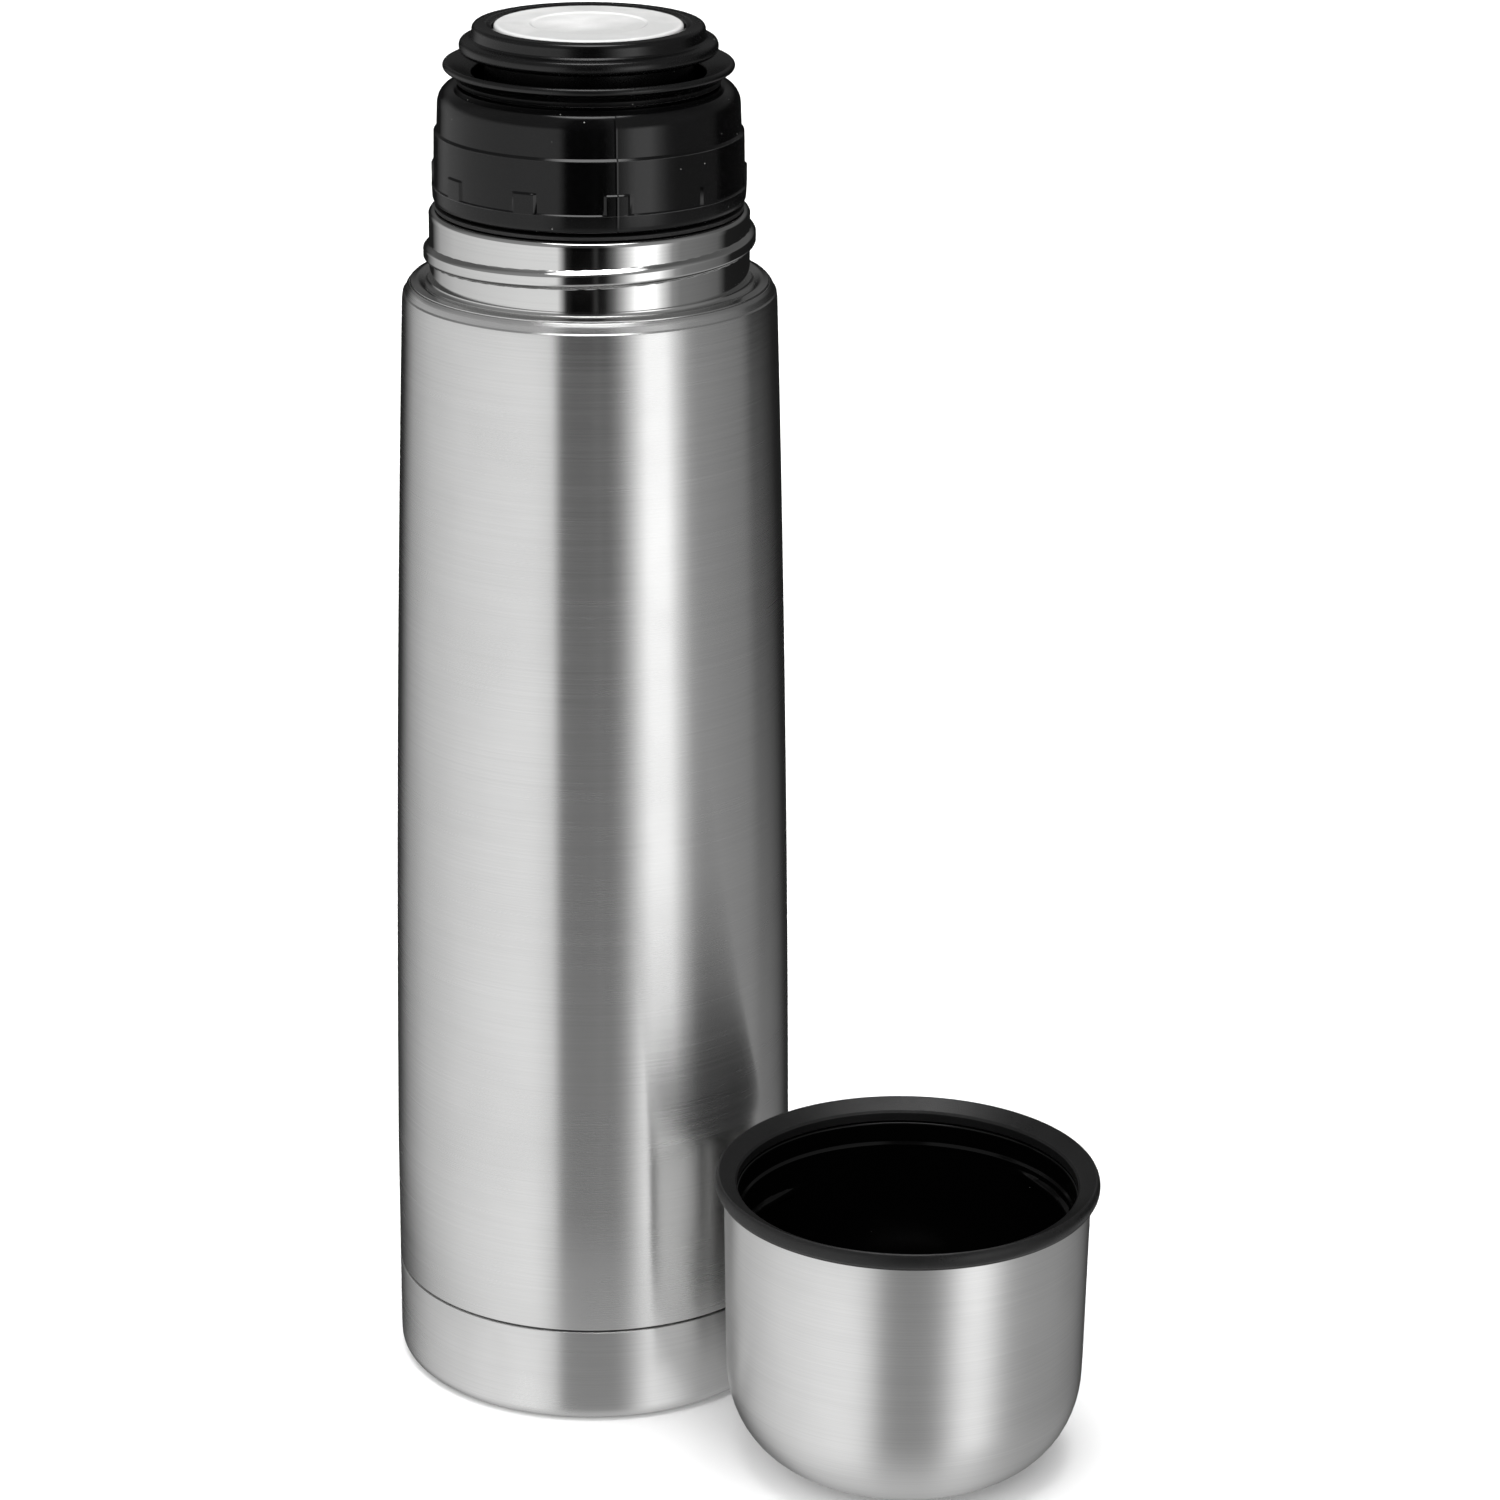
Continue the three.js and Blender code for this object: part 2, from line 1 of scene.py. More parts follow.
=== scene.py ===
"""A vacuum flask and its drinking cup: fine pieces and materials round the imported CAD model.

Profiles are in millimetres, as (radius, height) about an upright axis. Objects are in metres.
"""

import math

import bpy
from mathutils import Matrix, Vector


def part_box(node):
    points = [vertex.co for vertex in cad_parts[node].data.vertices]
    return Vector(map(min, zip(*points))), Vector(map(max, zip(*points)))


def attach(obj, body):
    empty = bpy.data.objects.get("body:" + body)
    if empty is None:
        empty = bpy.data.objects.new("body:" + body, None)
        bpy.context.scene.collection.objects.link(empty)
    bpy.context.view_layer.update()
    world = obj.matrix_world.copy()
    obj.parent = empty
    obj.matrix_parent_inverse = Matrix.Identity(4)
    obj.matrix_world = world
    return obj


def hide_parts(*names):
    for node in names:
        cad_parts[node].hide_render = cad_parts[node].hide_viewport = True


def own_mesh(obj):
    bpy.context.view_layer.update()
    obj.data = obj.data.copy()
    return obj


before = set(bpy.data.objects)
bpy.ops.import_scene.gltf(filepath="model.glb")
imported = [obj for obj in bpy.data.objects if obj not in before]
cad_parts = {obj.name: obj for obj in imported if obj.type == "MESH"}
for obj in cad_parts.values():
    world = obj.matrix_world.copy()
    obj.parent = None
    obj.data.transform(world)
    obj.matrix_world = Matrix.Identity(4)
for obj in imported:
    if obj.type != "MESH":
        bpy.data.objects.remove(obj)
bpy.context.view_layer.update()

MM = 0.001

# ---- Sizes read from the frame, in millimetres ----


def node_size(node):
    """(lowest corner, highest corner) of a CAD node in millimetres."""
    low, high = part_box(node)
    return low / MM, high / MM


BODY_RADIUS = node_size("base_cap")[1].x
SHELL_TOP = node_size("outer_shell")[1].z
MOUTH_HEIGHT = node_size("neck_ring")[1].z
BUTTON_TOP = node_size("push_button")[1].z
SKIRT_TOP = node_size("stopper_housing")[1].z
CUP_TOP = node_size("cup_rim")[1].z
CUP_CENTRE = sum(node_size("cup_rim"), Vector()) / 2

# ---- Sizes of the flask ----
TAPER_START = 40
TAPER_LINEAR = 0.01034
TAPER_SQUARE = 0.000071
SHEET = 0.7
SEAM_TOP = 17.6
SEAM_GAP = 0.4
SHOULDER_START = SHELL_TOP - 3
SHOULDER_EDGE_RADIUS = 30.3
SPIGOT_RADIUS = 34
SPIGOT_BOTTOM = 5.6
FIT = 0.3

NECK_RADIUS = 27
THROAT_RADIUS = 24.2
THREAD_LEAD = 5.6
BEAD_FRONT_HEIGHT = 203.6
BEAD_HALF_HEIGHT = 1.56
BEAD_DEPTH = 1
BEAD_TURNS = 1.08
BEAD_TURNS_TO_FRONT = 0.53
BEAD_FADE = 0.06
RIDGE_FLANK = 0.62           # share of a ridge's half height that its sloping side takes

VACUUM_GAP = 3
VESSEL_SHEET = 0.6
VESSEL_BOTTOM = 10
STOPPER_THREAD_START = 196
STOPPER_THREAD_TURNS = 0.83

# ---- Sizes of the stopper ----
PLUG_RADIUS = 23
PLUG_BOTTOM = 184
PLUG_BORE = 19
SKIRT_BOTTOM = 210.7
SKIRT_RADIUS = 26.12
BAND_LINE = 213.95           # the skirt is wider below this line
BAND_STEP = 223
BLOCK_TOP = 217.3
BLOCK_HEIGHT = 0.31
BLOCK_HALF_ANGLE = math.radians(4.3)
BLOCK_SPACING = 36
PARTING_LINE = math.radians(-78.1)
COLLAR_BORE = 19.6
CAP_TUBE_RADIUS = 16.2
BUTTON_RADIUS = 15.78
STEM_RADIUS = 2
HUB_BOTTOM = 217
HUB_TOP = 220
WEB_WIDTH = 2.4
WEB_END = PLUG_BORE + 0.3    # the webs and the cap's rests reach into the housing's wall
WEB_ANGLES = [math.radians(30 + 120 * i) for i in range(3)]
VALVE_SEAT_BOTTOM = 180.7

# ---- Sizes of the cup ----
CUP_WALL_RADIUS = 30.72
CUP_CORNER_WIDTH = 13.65
CUP_CORNER_HEIGHT = 16.54
CUP_FLARE = 0.017
CUP_SHEET = 0.6
CUP_SHELL_TOP = 49.6
LINER_INSET = 1
LINER_THICKNESS = 1.8

FINE = 256                   # facets round the large pieces
MEDIUM = 160
SMALL = 64


# ---- Profiles ----

def arc(centre_radius, centre_height, width, height, start, end, steps):
    """Points along an elliptical arc, angles in degrees from the +radius direction."""
    points = []
    for i in range(steps + 1):
        angle = math.radians(start + (end - start) * i / steps)
        radius = centre_radius + width * math.cos(angle)
        points.append((radius, centre_height + height * math.sin(angle), 0))
    return points


def along(radius_at, start, end, steps):
    """Points of a function of height, at evenly spaced heights."""
    heights = [start + (end - start) * i / steps for i in range(steps + 1)]
    return [(radius_at(height), height, 0) for height in heights]


LARGEST_FILLET = 0.42        # a fillet's reach, as a share of the shorter side at its corner
SUPPORT_BY_FILLET = 0.6      # a support point's distance, as a share of the fillet's reach
SUPPORT_BY_SIDE = 0.06       # and at most this share of the shorter side


def fillet_points(corner, before, after, fillet, steps):
    """The points that round one corner, with a support point on each side of the arc."""
    to_before = before - corner
    to_after = after - corner
    half = to_before.angle(to_after) / 2
    shortest = min(to_before.length, to_after.length)
    reach = min(fillet / math.tan(half), LARGEST_FILLET * shortest)
    radius = reach * math.tan(half)
    back = to_before.normalized()
    ahead = to_after.normalized()
    centre = corner + (back + ahead).normalized() * (radius / math.sin(half))
    first = corner + back * reach - centre
    sweep = first.angle_signed(corner + ahead * reach - centre)
    edge_paleness = 1.0 if sweep < 0 else 0.0
    support = min(SUPPORT_BY_FILLET * reach, SUPPORT_BY_SIDE * shortest)
    points = [(*(corner + back * (reach + support)), 0.0)]
    for i in range(steps + 1):
        spot = centre + Matrix.Rotation(-sweep * i / steps, 2) @ first
        points.append((spot.x, spot.y, edge_paleness))
    points.append((*(corner + ahead * (reach + support)), 0.0))
    return points


def rounded(corners, closed=True, steps=4):
    """Rounds each (radius, height, fillet) corner. The points carry 1 on an outer edge, which some
    materials make paler: wear, and on the glossy and satin black partly a painted highlight.
    """
    points = []
    count = len(corners)
    for i, (radius, height, fillet) in enumerate(corners):
        end_of_open = not closed and i in (0, count - 1)
        if fillet == 0 or end_of_open:
            points.append((radius, height, 0.0))
            continue
        before = Vector(corners[i - 1][:2])
        after = Vector(corners[(i + 1) % count][:2])
        points += fillet_points(Vector((radius, height)), before, after, fillet, steps)
    return points


def even_angles(count):
    return [2 * math.pi * i / count for i in range(count)]


def with_extra_angles(count, extra):
    """Even angles with some more between them, so that narrow features have edges of their own."""
    closest = math.pi / count * 0.4
    extra = sorted(angle % (2 * math.pi) for angle in extra)
    kept = [a for a in even_angles(count) if all(abs(a - e) > closest for e in extra)]
    return sorted(kept + extra)


# ---- Meshes ----

def add_piece(name, vertices, faces, edge_paleness=None, centre=(0, 0), sharp_degrees=38):
    """A smooth-shaded object, its vertices in millimetres about its own origin."""
    mesh = bpy.data.meshes.new(name)
    mesh.from_pydata([Vector(v) * MM for v in vertices], [], faces)
    mesh.update()
    mesh.shade_smooth()
    mesh.set_sharp_from_angle(angle=math.radians(sharp_degrees))
    # Paleness of the outer edges, per vertex: wear, and on the black plastics partly a painted
    # highlight.
    if edge_paleness:
        attribute = mesh.attributes.new("edge_wear_and_highlight", "FLOAT", "POINT")
        attribute.data.foreach_set("value", edge_paleness)
    piece = bpy.data.objects.new(name, mesh)
    piece.location = (centre[0] * MM, centre[1] * MM, 0)
    bpy.context.scene.collection.objects.link(piece)
    return piece


def lathe(name, profile, angles, closed=True, shape=None, centre=(0, 0)):
    """Turns a profile about +Z. The outside of the profile runs upwards. An open profile starts and
    ends on the axis. shape(radius, height, angle) moves a point off the plain turned form."""
    vertices = []
    edge_paleness = []
    rows = []
    for radius, height, pale_edge_share in profile:
        if radius < 1e-6:
            rows.append([len(vertices)] * len(angles))
            vertices.append((0, 0, height))
            edge_paleness.append(pale_edge_share)
            continue
        rows.append(list(range(len(vertices), len(vertices) + len(angles))))
        for angle in angles:
            r, z = shape(radius, height, angle) if shape else (radius, height)
            vertices.append((r * math.cos(angle), r * math.sin(angle), z))
            edge_paleness.append(pale_edge_share)
    pairs = list(zip(rows, rows[1:]))
    if closed:
        pairs.append((rows[-1], rows[0]))
    faces = []
    for low, high in pairs:
        for i in range(len(angles)):
            j = (i + 1) % len(angles)
            face = [low[i], low[j], high[j], high[i]]
            face = [v for k, v in enumerate(face) if v != face[k - 1]]
            faces.append(face)
    return add_piece(name, vertices, faces, edge_paleness, centre)


def joined(piece, *others):
    """Adds the other pieces' meshes to the first one's."""
    with bpy.context.temp_override(active_object=piece, selected_editable_objects=[piece, *others]):
        bpy.ops.object.join()
    return piece


def smooth_step(value):
    value = min(1, max(0, value))
    return value * value * (3 - 2 * value)


def helix_ridge(angle, height, start_angle, start_height, turns, half_height, fade):
    """Share of a helical ridge's depth at a place on a wall, from 0 beside it to 1 on its crest."""
    first_turn = ((angle - start_angle) / (2 * math.pi)) % 1
    share = 0
    turn = first_turn
    while turn <= turns:
        distance = (height - start_height - THREAD_LEAD * turn) / half_height
        if abs(distance) < 1:
            ends = smooth_step(min(turn, turns - turn) / fade)
            flank = min(1, (1 - abs(distance)) / RIDGE_FLANK)
            share = max(share, ends * math.sin(flank * math.pi / 2))
        turn += 1
    return share


# ---- Flask ----

def wall_radius(height):
    """Outside radius of the flask's wall at a height."""
    above = max(0, height - TAPER_START)
    return BODY_RADIUS - TAPER_LINEAR * above - TAPER_SQUARE * above * above


def outer_shell():
    """Brushed steel wall. A narrow bevel catches the light where the shoulder begins."""
    outside = [
        (SPIGOT_RADIUS, SPIGOT_BOTTOM, 0.1),
        (SPIGOT_RADIUS, SEAM_TOP - SEAM_GAP, 0.1),
        (BODY_RADIUS - 0.1, SEAM_TOP, 0.12),
        (BODY_RADIUS, SEAM_TOP + 0.3, 0),
        *along(wall_radius, TAPER_START, SHOULDER_START, 24),
        (31.56, SHELL_TOP - 1.95, 0.2),
        (31.3, SHELL_TOP - 1.69, 0.2),
        (30.9, SHELL_TOP - 0.75, 1.6),
        (SHOULDER_EDGE_RADIUS, SHELL_TOP, 0.14),
    ]
    inside = [
        (SHOULDER_EDGE_RADIUS, SHELL_TOP - SHEET, 0),
        (30.85, SHELL_TOP - 2.4, 0.8),
        *along(lambda z: wall_radius(z) - SHEET, SHOULDER_START - 4, TAPER_START, 12),
        (BODY_RADIUS - SHEET, SEAM_TOP + 0.6, 0),
        (SPIGOT_RADIUS - SHEET, SEAM_TOP, 0),
        (SPIGOT_RADIUS - SHEET, SPIGOT_BOTTOM, 0.1),
    ]
    return lathe("shell", rounded(outside + inside), even_angles(FINE))


def neck_ring():
    """The polished neck. Its wall is finely divided where the rolled bead winds round it."""
    inner_wall = NECK_RADIUS - SHEET
    inner_top = MOUTH_HEIGHT - SHEET
    bead_zone_bottom = 198
    bead_zone_top = 208.2
    start_angle = -math.pi / 2 - BEAD_TURNS_TO_FRONT * 2 * math.pi
    start_height = BEAD_FRONT_HEIGHT - BEAD_TURNS_TO_FRONT * THREAD_LEAD

    def with_bead(radius, height, angle):
        if radius < NECK_RADIUS - 0.05:
            return radius, height
        share = helix_ridge(angle, height, start_angle, start_height, BEAD_TURNS,
                            BEAD_HALF_HEIGHT, BEAD_FADE)
        return radius + BEAD_DEPTH * share, height

    outside = [
        (SHOULDER_EDGE_RADIUS - 0.06, SHELL_TOP - SHEET, 0.1),
        (SHOULDER_EDGE_RADIUS - 0.06, SHELL_TOP + 0.05, 0.12),
        (29, SHELL_TOP + 0.36, 1),
        *arc(28.3, bead_zone_bottom, NECK_RADIUS - 28.3, -0.9, 66, 0, 8),
        *along(lambda z: NECK_RADIUS, bead_zone_bottom + 0.1, bead_zone_top, 101),
        *arc(NECK_RADIUS - 0.9, MOUTH_HEIGHT - 1, 0.95, 1, 15, 90, 6),
        *arc(THROAT_RADIUS + 0.6, MOUTH_HEIGHT - 0.6, 0.6, 0.6, 90, 180, 5),
        (THROAT_RADIUS, MOUTH_HEIGHT - 2.6, 0.1),
    ]
    inside = [
        (THROAT_RADIUS + SHEET, MOUTH_HEIGHT - 2.6, 0.1),
        (THROAT_RADIUS + SHEET, inner_top, 0),
        (inner_wall, inner_top, 0),
        (inner_wall, bead_zone_bottom - 0.4, 0),
        (27, 196.8, 0),
        (28.4, 196.1, 0),
    ]
    return lathe("neck", rounded(outside + inside), even_angles(FINE), shape=with_bead)


def base_cap():
    top = SEAM_TOP - SEAM_GAP
    floor = 1.9
    inner_wall = SPIGOT_RADIUS + FIT
    profile = [
        (0, 0, 0),
        (12, 0, 0.4),
        (12.8, 1, 0.4),
        (27.6, 1, 0.4),
        (28.4, 0, 0.4),
        *arc(BODY_RADIUS - 2.1, 2.5, 2.05, 2.5, -90, 0, 10),
        (BODY_RADIUS, 4, 0),
        (BODY_RADIUS, top, 0.16),
        (inner_wall, top, 0.1),
        (inner_wall, floor + 1, 0.3),
        (inner_wall - 1, floor, 0.3),
        (0, floor, 0),
    ]
    return lathe("base", rounded(profile, closed=False), even_angles(FINE), closed=False)


def vessel_radius(height):
    """Outside radius of the inner bottle below its shoulder."""
    return wall_radius(height) - SHEET - VACUUM_GAP


def inner_vessel():
    shoulder = 178
    corner_top = VESSEL_BOTTOM + 8
    throat_outside = THROAT_RADIUS + VESSEL_SHEET
    throat_top = MOUTH_HEIGHT - 2.6 - FIT
    ridge_half_height = 1.15
    ridge_depth = 0.9

    def inner(height):
        return vessel_radius(height) - VESSEL_SHEET

    def with_ridge(radius, height, angle):
        if abs(radius - THROAT_RADIUS) > 0.05:
            return radius, height
        share = helix_ridge(angle, height, 0, STOPPER_THREAD_START, STOPPER_THREAD_TURNS,
                            ridge_half_height, 0.05)
        return radius - ridge_depth * share, height

    profile = [
        (0, VESSEL_BOTTOM, 0),
        *arc(vessel_radius(corner_top) - 8, corner_top, 8, 8, -90, -5, 10),
        *along(vessel_radius, TAPER_START, shoulder, 16),
        (27.3, 183.5, 3),
        (25.4, 188.2, 2),
        (throat_outside, 190.6, 1),
        (throat_outside, throat_top, 0.15),
        (THROAT_RADIUS, throat_top, 0.15),
        *along(lambda z: THROAT_RADIUS, throat_top - 1.5, 193.5, 44),
        (THROAT_RADIUS, 190.4, 1),
        (24.9, 187.8, 2),
        (26.7, 183.2, 3),
        *along(inner, shoulder, TAPER_START, 16),
        *arc(inner(corner_top) - 7.4, corner_top, 7.4, 7.4, -5, -90, 10),
        (0, VESSEL_BOTTOM + VESSEL_SHEET, 0),
    ]
    points = rounded(profile, closed=False)
    return lathe("inner_bottle", points, even_angles(MEDIUM), closed=False, shape=with_ridge)


def radiation_foil():
    """Foil wrapped round the inner bottle, with soft wrinkles."""
    bottom = 24
    top = 172

    def wrinkled(radius, height, angle):
        wave = math.sin(7 * angle + 0.06 * height) * math.sin(0.11 * height + 3 * angle)
        return radius + 0.12 * wave, height

    outside = along(lambda z: vessel_radius(z) + 0.75, bottom, top, 60)
    inside = along(lambda z: vessel_radius(z) + 0.55, top, bottom, 60)
    return lathe("foil", rounded(outside + inside), even_angles(MEDIUM), shape=wrinkled)


def vacuum_base():
    rim = SPIGOT_RADIUS - SHEET - FIT
    floor = 5.4
    profile = [
        (1.6, floor + 1.2, 0.1),
        (4.5, floor + 1.2, 0.6),
        (6, floor, 0.6),
        (rim, floor, 0.7),
        (rim, floor + 4, 0.15),
        (rim - SHEET, floor + 4, 0.15),
        (rim - SHEET, floor + SHEET, 0.3),
        (6.3, floor + SHEET, 0.6),
        (4.8, floor + 1.2 + SHEET, 0.6),
        (1.6, floor + 1.2 + SHEET, 0.1),
    ]
    return lathe("jacket_plate", rounded(profile), even_angles(MEDIUM))


def getter():
    profile = [(0, 6.4, 0), (5, 6.4, 0.4), (5, 8.5, 0.4), (0, 8.5, 0)]
    return lathe("getter_pill", rounded(profile, closed=False), even_angles(SMALL), closed=False,
                 centre=(16, 6))


def vacuum_seal():
    profile = [
        (0, 4.6, 0),
        *arc(0, 6.2, 3.2, 1.6, -80, 0, 8),
        (1.3, 6.3, 0.1),
        (1.3, 7.2, 0.3),
        (0, 7.2, 0),
    ]
    return lathe("braze_drop", rounded(profile, closed=False), even_angles(SMALL), closed=False)


# ---- Stopper ----

def block_angles():
    """Middles of the skirt's raised blocks. One stands on the parting line. The steps on its left
    are a little shorter than the ones on its right."""
    left = [-68, -34, 0]
    right = [39 + BLOCK_SPACING * i for i in range(7)]
    return [PARTING_LINE + math.radians(degrees) for degrees in left + right]


def angle_between(first, second):
    return abs((first - second + math.pi) % (2 * math.pi) - math.pi)


def stem_guide():
    """Hub that guides the valve stem, with the webs that hold it in the housing's bore."""
    hub_radius = 8
    half_width = WEB_WIDTH / 2
    side_angles = [math.asin(half_width / radius) for radius in (WEB_END, 14, 11, 9, hub_radius)]
    sides = [sign * angle for angle in side_angles for sign in (-1, 1)]

    def webbed(radius, height, angle):
        if radius < hub_radius - 1:
            return radius, height
        from_web = min(angle_between(angle, web) for web in WEB_ANGLES)
        if from_web >= side_angles[-1]:
            return radius, height
        side = half_width / math.sin(max(from_web, side_angles[0]))
        return radius - hub_radius + side, height

    bore = STEM_RADIUS + 0.4
    profile = [
        (bore, HUB_BOTTOM, 0.2),
        (hub_radius, HUB_BOTTOM, 0.2),
        (hub_radius, HUB_TOP, 0.2),
        (bore, HUB_TOP, 0.2),
    ]
    extra = [web + side for web in WEB_ANGLES for side in sides]
    return lathe("stem_guide", rounded(profile), with_extra_angles(SMALL, extra), shape=webbed)


def cap_rests():
    """Ribs in the bore, one on each web, that the cap's tube stands on."""
    inner_end = 15.7
    bottom = HUB_TOP - 0.4
    top = 226.2
    corners = [(inner_end, -1), (inner_end, 1), (WEB_END, 1), (WEB_END, -1)]
    faces = [[3, 2, 1, 0], [4, 5, 6, 7], [0, 1, 5, 4], [1, 2, 6, 5], [2, 3, 7, 6], [3, 0, 4, 7]]
    rests = []
    for web in WEB_ANGLES:
        turn = Matrix.Rotation(web, 3, "Z")
        vertices = [turn @ Vector((radius, side * WEB_WIDTH / 2, height))
                    for height in (bottom, top) for radius, side in corners]
        rests.append(add_piece("cap_rest", vertices, faces, [0] * len(vertices)))
    return rests


def stopper_housing():
    """Black body of the stopper: a plug in the throat and a wide skirt over the mouth."""
    edge = math.radians(0.45)
    seam_half_angle = math.radians(0.35)
    seam_height = 0.05
    rib_half_height = 1.15
    rib_depth = 0.9
    skirt_inside = 24
    blocks = block_angles()
    sides = (-BLOCK_HALF_ANGLE - edge, -BLOCK_HALF_ANGLE + edge, BLOCK_HALF_ANGLE - edge,
             BLOCK_HALF_ANGLE + edge)
    extra = [block + side for block in blocks for side in sides]
    extra += [PARTING_LINE + seam_half_angle * k for k in (-1, -0.3, 0.3, 1)]

    def block_share(height, angle):
        nearest = min(angle_between(angle, block) for block in blocks)
        sideways = smooth_step((BLOCK_HALF_ANGLE + edge - nearest) / (2 * edge))
        upwards = smooth_step((BLOCK_TOP + 0.2 - height) / 0.4)
        return sideways * upwards

    def seam_share(angle):
        return smooth_step(1 - angle_between(angle, PARTING_LINE) / seam_half_angle)

    def moulded(radius, height, angle):
        if radius < PLUG_RADIUS - 0.05 and height < SKIRT_BOTTOM:
            return radius, height
        if height < SKIRT_BOTTOM - 0.5:
            share = helix_ridge(angle, height, 0, STOPPER_THREAD_START - THREAD_LEAD / 2,
                                STOPPER_THREAD_TURNS, rib_half_height, 0.05)
            return radius + rib_depth * share, height
        if radius < skirt_inside:
            return radius, height
        if BAND_LINE - 0.2 < height < BAND_STEP - 1:
            raised = block_share(height, angle) * (SKIRT_RADIUS + BLOCK_HEIGHT - radius)
            radius += max(0, raised)
        return radius + seam_height * seam_share(angle), height

    outside = [
        (PLUG_BORE, PLUG_BOTTOM, 0.3),
        (PLUG_RADIUS, PLUG_BOTTOM, 0.6),
        *along(lambda z: PLUG_RADIUS, 191, 201.5, 40),
        (PLUG_RADIUS, SKIRT_BOTTOM, 0.2),
        *arc(SKIRT_RADIUS - 1, SKIRT_BOTTOM + 1.3, 1.2, 1.3, -90, 0, 8),
        (SKIRT_RADIUS + 0.3, BAND_LINE - 0.05, 0.14),
        (SKIRT_RADIUS, BAND_LINE + 0.2, 0.1),
        *along(lambda z: SKIRT_RADIUS - 0.06, BLOCK_TOP - 0.26, BLOCK_TOP + 0.26, 10),
        (SKIRT_RADIUS - 0.15, BAND_STEP - 0.18, 0.14),
        (SKIRT_RADIUS - 0.62, BAND_STEP + 0.24, 0.12),
        *arc(22.4, 227.3, 2.95, SKIRT_TOP - 227.3, 0, 88, 14),
        (COLLAR_BORE + 1.3, SKIRT_TOP, 0.2),
        (COLLAR_BORE + 1.3, 225.7, 0.2),
        (PLUG_BORE, 225.7, 0.2),
    ]
    body = lathe("stopper_body", rounded(outside), with_extra_angles(FINE, extra), shape=moulded)
    return joined(body, stem_guide(), *cap_rests())


def pour_lip():
    profile = [
        (COLLAR_BORE, 226, 0.15),
        (COLLAR_BORE + 1, 226, 0.15),
        (COLLAR_BORE + 1, SKIRT_TOP + FIT, 0.1),
        (22, SKIRT_TOP + FIT, 0.2),
        (22.3, 231.9, 0.5),
        (23.4, 232.95, 0.5),
        *arc(23.72, 233.75, 0.63, 0.63, -60, 100, 10),
        (22.2, 233.7, 0.6),
        (COLLAR_BORE, 232.6, 0.3),
    ]
    return lathe("pouring_lip", rounded(profile), even_angles(FINE))


def stopper_cap():
    """Two-tier black cap round the button. Its tube guides the button."""
    tube_outside = CAP_TUBE_RADIUS + 1.2
    profile = [
        (CAP_TUBE_RADIUS, 226.5, 0.15),
        (tube_outside, 226.5, 0.2),
        (tube_outside, 235.5, 0.4),
        (20.4, 235.7, 0.2),
        *arc(20.95, 237, 0.65, 1.05, -65, 75, 10),
        (20, 238.3, 0.3),
        (19.6, 238.55, 0.2),
        (19.45, 239.6, 0.2),
        *arc(18.7, 239.75, 0.75, 0.9, 10, 85, 8),
        (17.1, 240.66, 0.25),
        (CAP_TUBE_RADIUS, 240.3, 0.15),
    ]
    return lathe("cap_ring", rounded(profile), even_angles(FINE))


def valve_seat():
    profile = [
        (14.5, VALVE_SEAT_BOTTOM, 0.15),
        (22.6, VALVE_SEAT_BOTTOM, 0.4),
        (22.6, PLUG_BOTTOM - FIT, 0.2),
        (17, PLUG_BOTTOM - FIT, 0.4),
        (14.5, VALVE_SEAT_BOTTOM + 1.2, 0.2),
    ]
    return lathe("seat_ring", rounded(profile), even_angles(MEDIUM))


def neck_gasket():
    """Seal with a thin flange on the mouth and a sleeve that reaches into the throat."""
    bore = PLUG_RADIUS + FIT
    profile = [
        (bore, 205.6, 0.1),
        (23.65, 205.6, 0.15),
        (23.9, 206.2, 0.2),
        (23.9, MOUTH_HEIGHT + 0.2, 0.1),
        (26, MOUTH_HEIGHT + 0.2, 0.08),
        (26, SKIRT_BOTTOM - FIT, 0.08),
        (bore, SKIRT_BOTTOM - FIT, 0.1),
    ]
    return lathe("mouth_gasket", rounded(profile), even_angles(MEDIUM))


# ---- Push button and valve ----

def push_button():
    skirt_bottom = 231
    skirt_inside = 12.9
    underside = 238.7
    groove_floor = 14.3
    profile = [
        (0, 236.9, 0),
        (STEM_RADIUS + FIT, 236.9, 0.1),
        (STEM_RADIUS + FIT, 230, 0.2),
        (4.6, 230, 0.3),
        (4.6, underside, 0.4),
        (skirt_inside, underside, 0.4),
        (skirt_inside, skirt_bottom, 0.2),
        (BUTTON_RADIUS, skirt_bottom, 0.3),
        (BUTTON_RADIUS, 232.6, 0.1),
        (groove_floor, 232.6, 0.2),
        (groove_floor, 234.8, 0.2),
        (BUTTON_RADIUS, 234.8, 0.1),
        (BUTTON_RADIUS, BUTTON_TOP, 0.55),
        (9.9, BUTTON_TOP, 0.25),
        (9.4, BUTTON_TOP - 0.2, 0.25),
        (0, BUTTON_TOP - 0.3, 0),
    ]
    return lathe("button", rounded(profile, closed=False), even_angles(MEDIUM), closed=False)


def button_seal():
    return lathe("button_ring", arc(15.25, 233.7, 0.65, 0.65, 0, 345, 23), even_angles(MEDIUM))


def valve_stem():
    profile = [(0, 172, 0), (STEM_RADIUS, 172, 0.3), (STEM_RADIUS, 236.6, 0.3), (0, 236.6, 0)]
    return lathe("stem", rounded(profile, closed=False), even_angles(SMALL), closed=False)


def valve_head():
    bore = STEM_RADIUS + FIT
    profile = [
        (bore, 174.9, 0.1),
        (15, 174.9, 0.6),
        (18, 176.4, 0.4),
        (18, 177.6, 0.2),
        (12.9, 177.6, 0.2),
        (12.2, 179.4, 0.4),
        (bore, 179.4, 0.15),
    ]
    return lathe("valve_disc", rounded(profile), even_angles(MEDIUM))


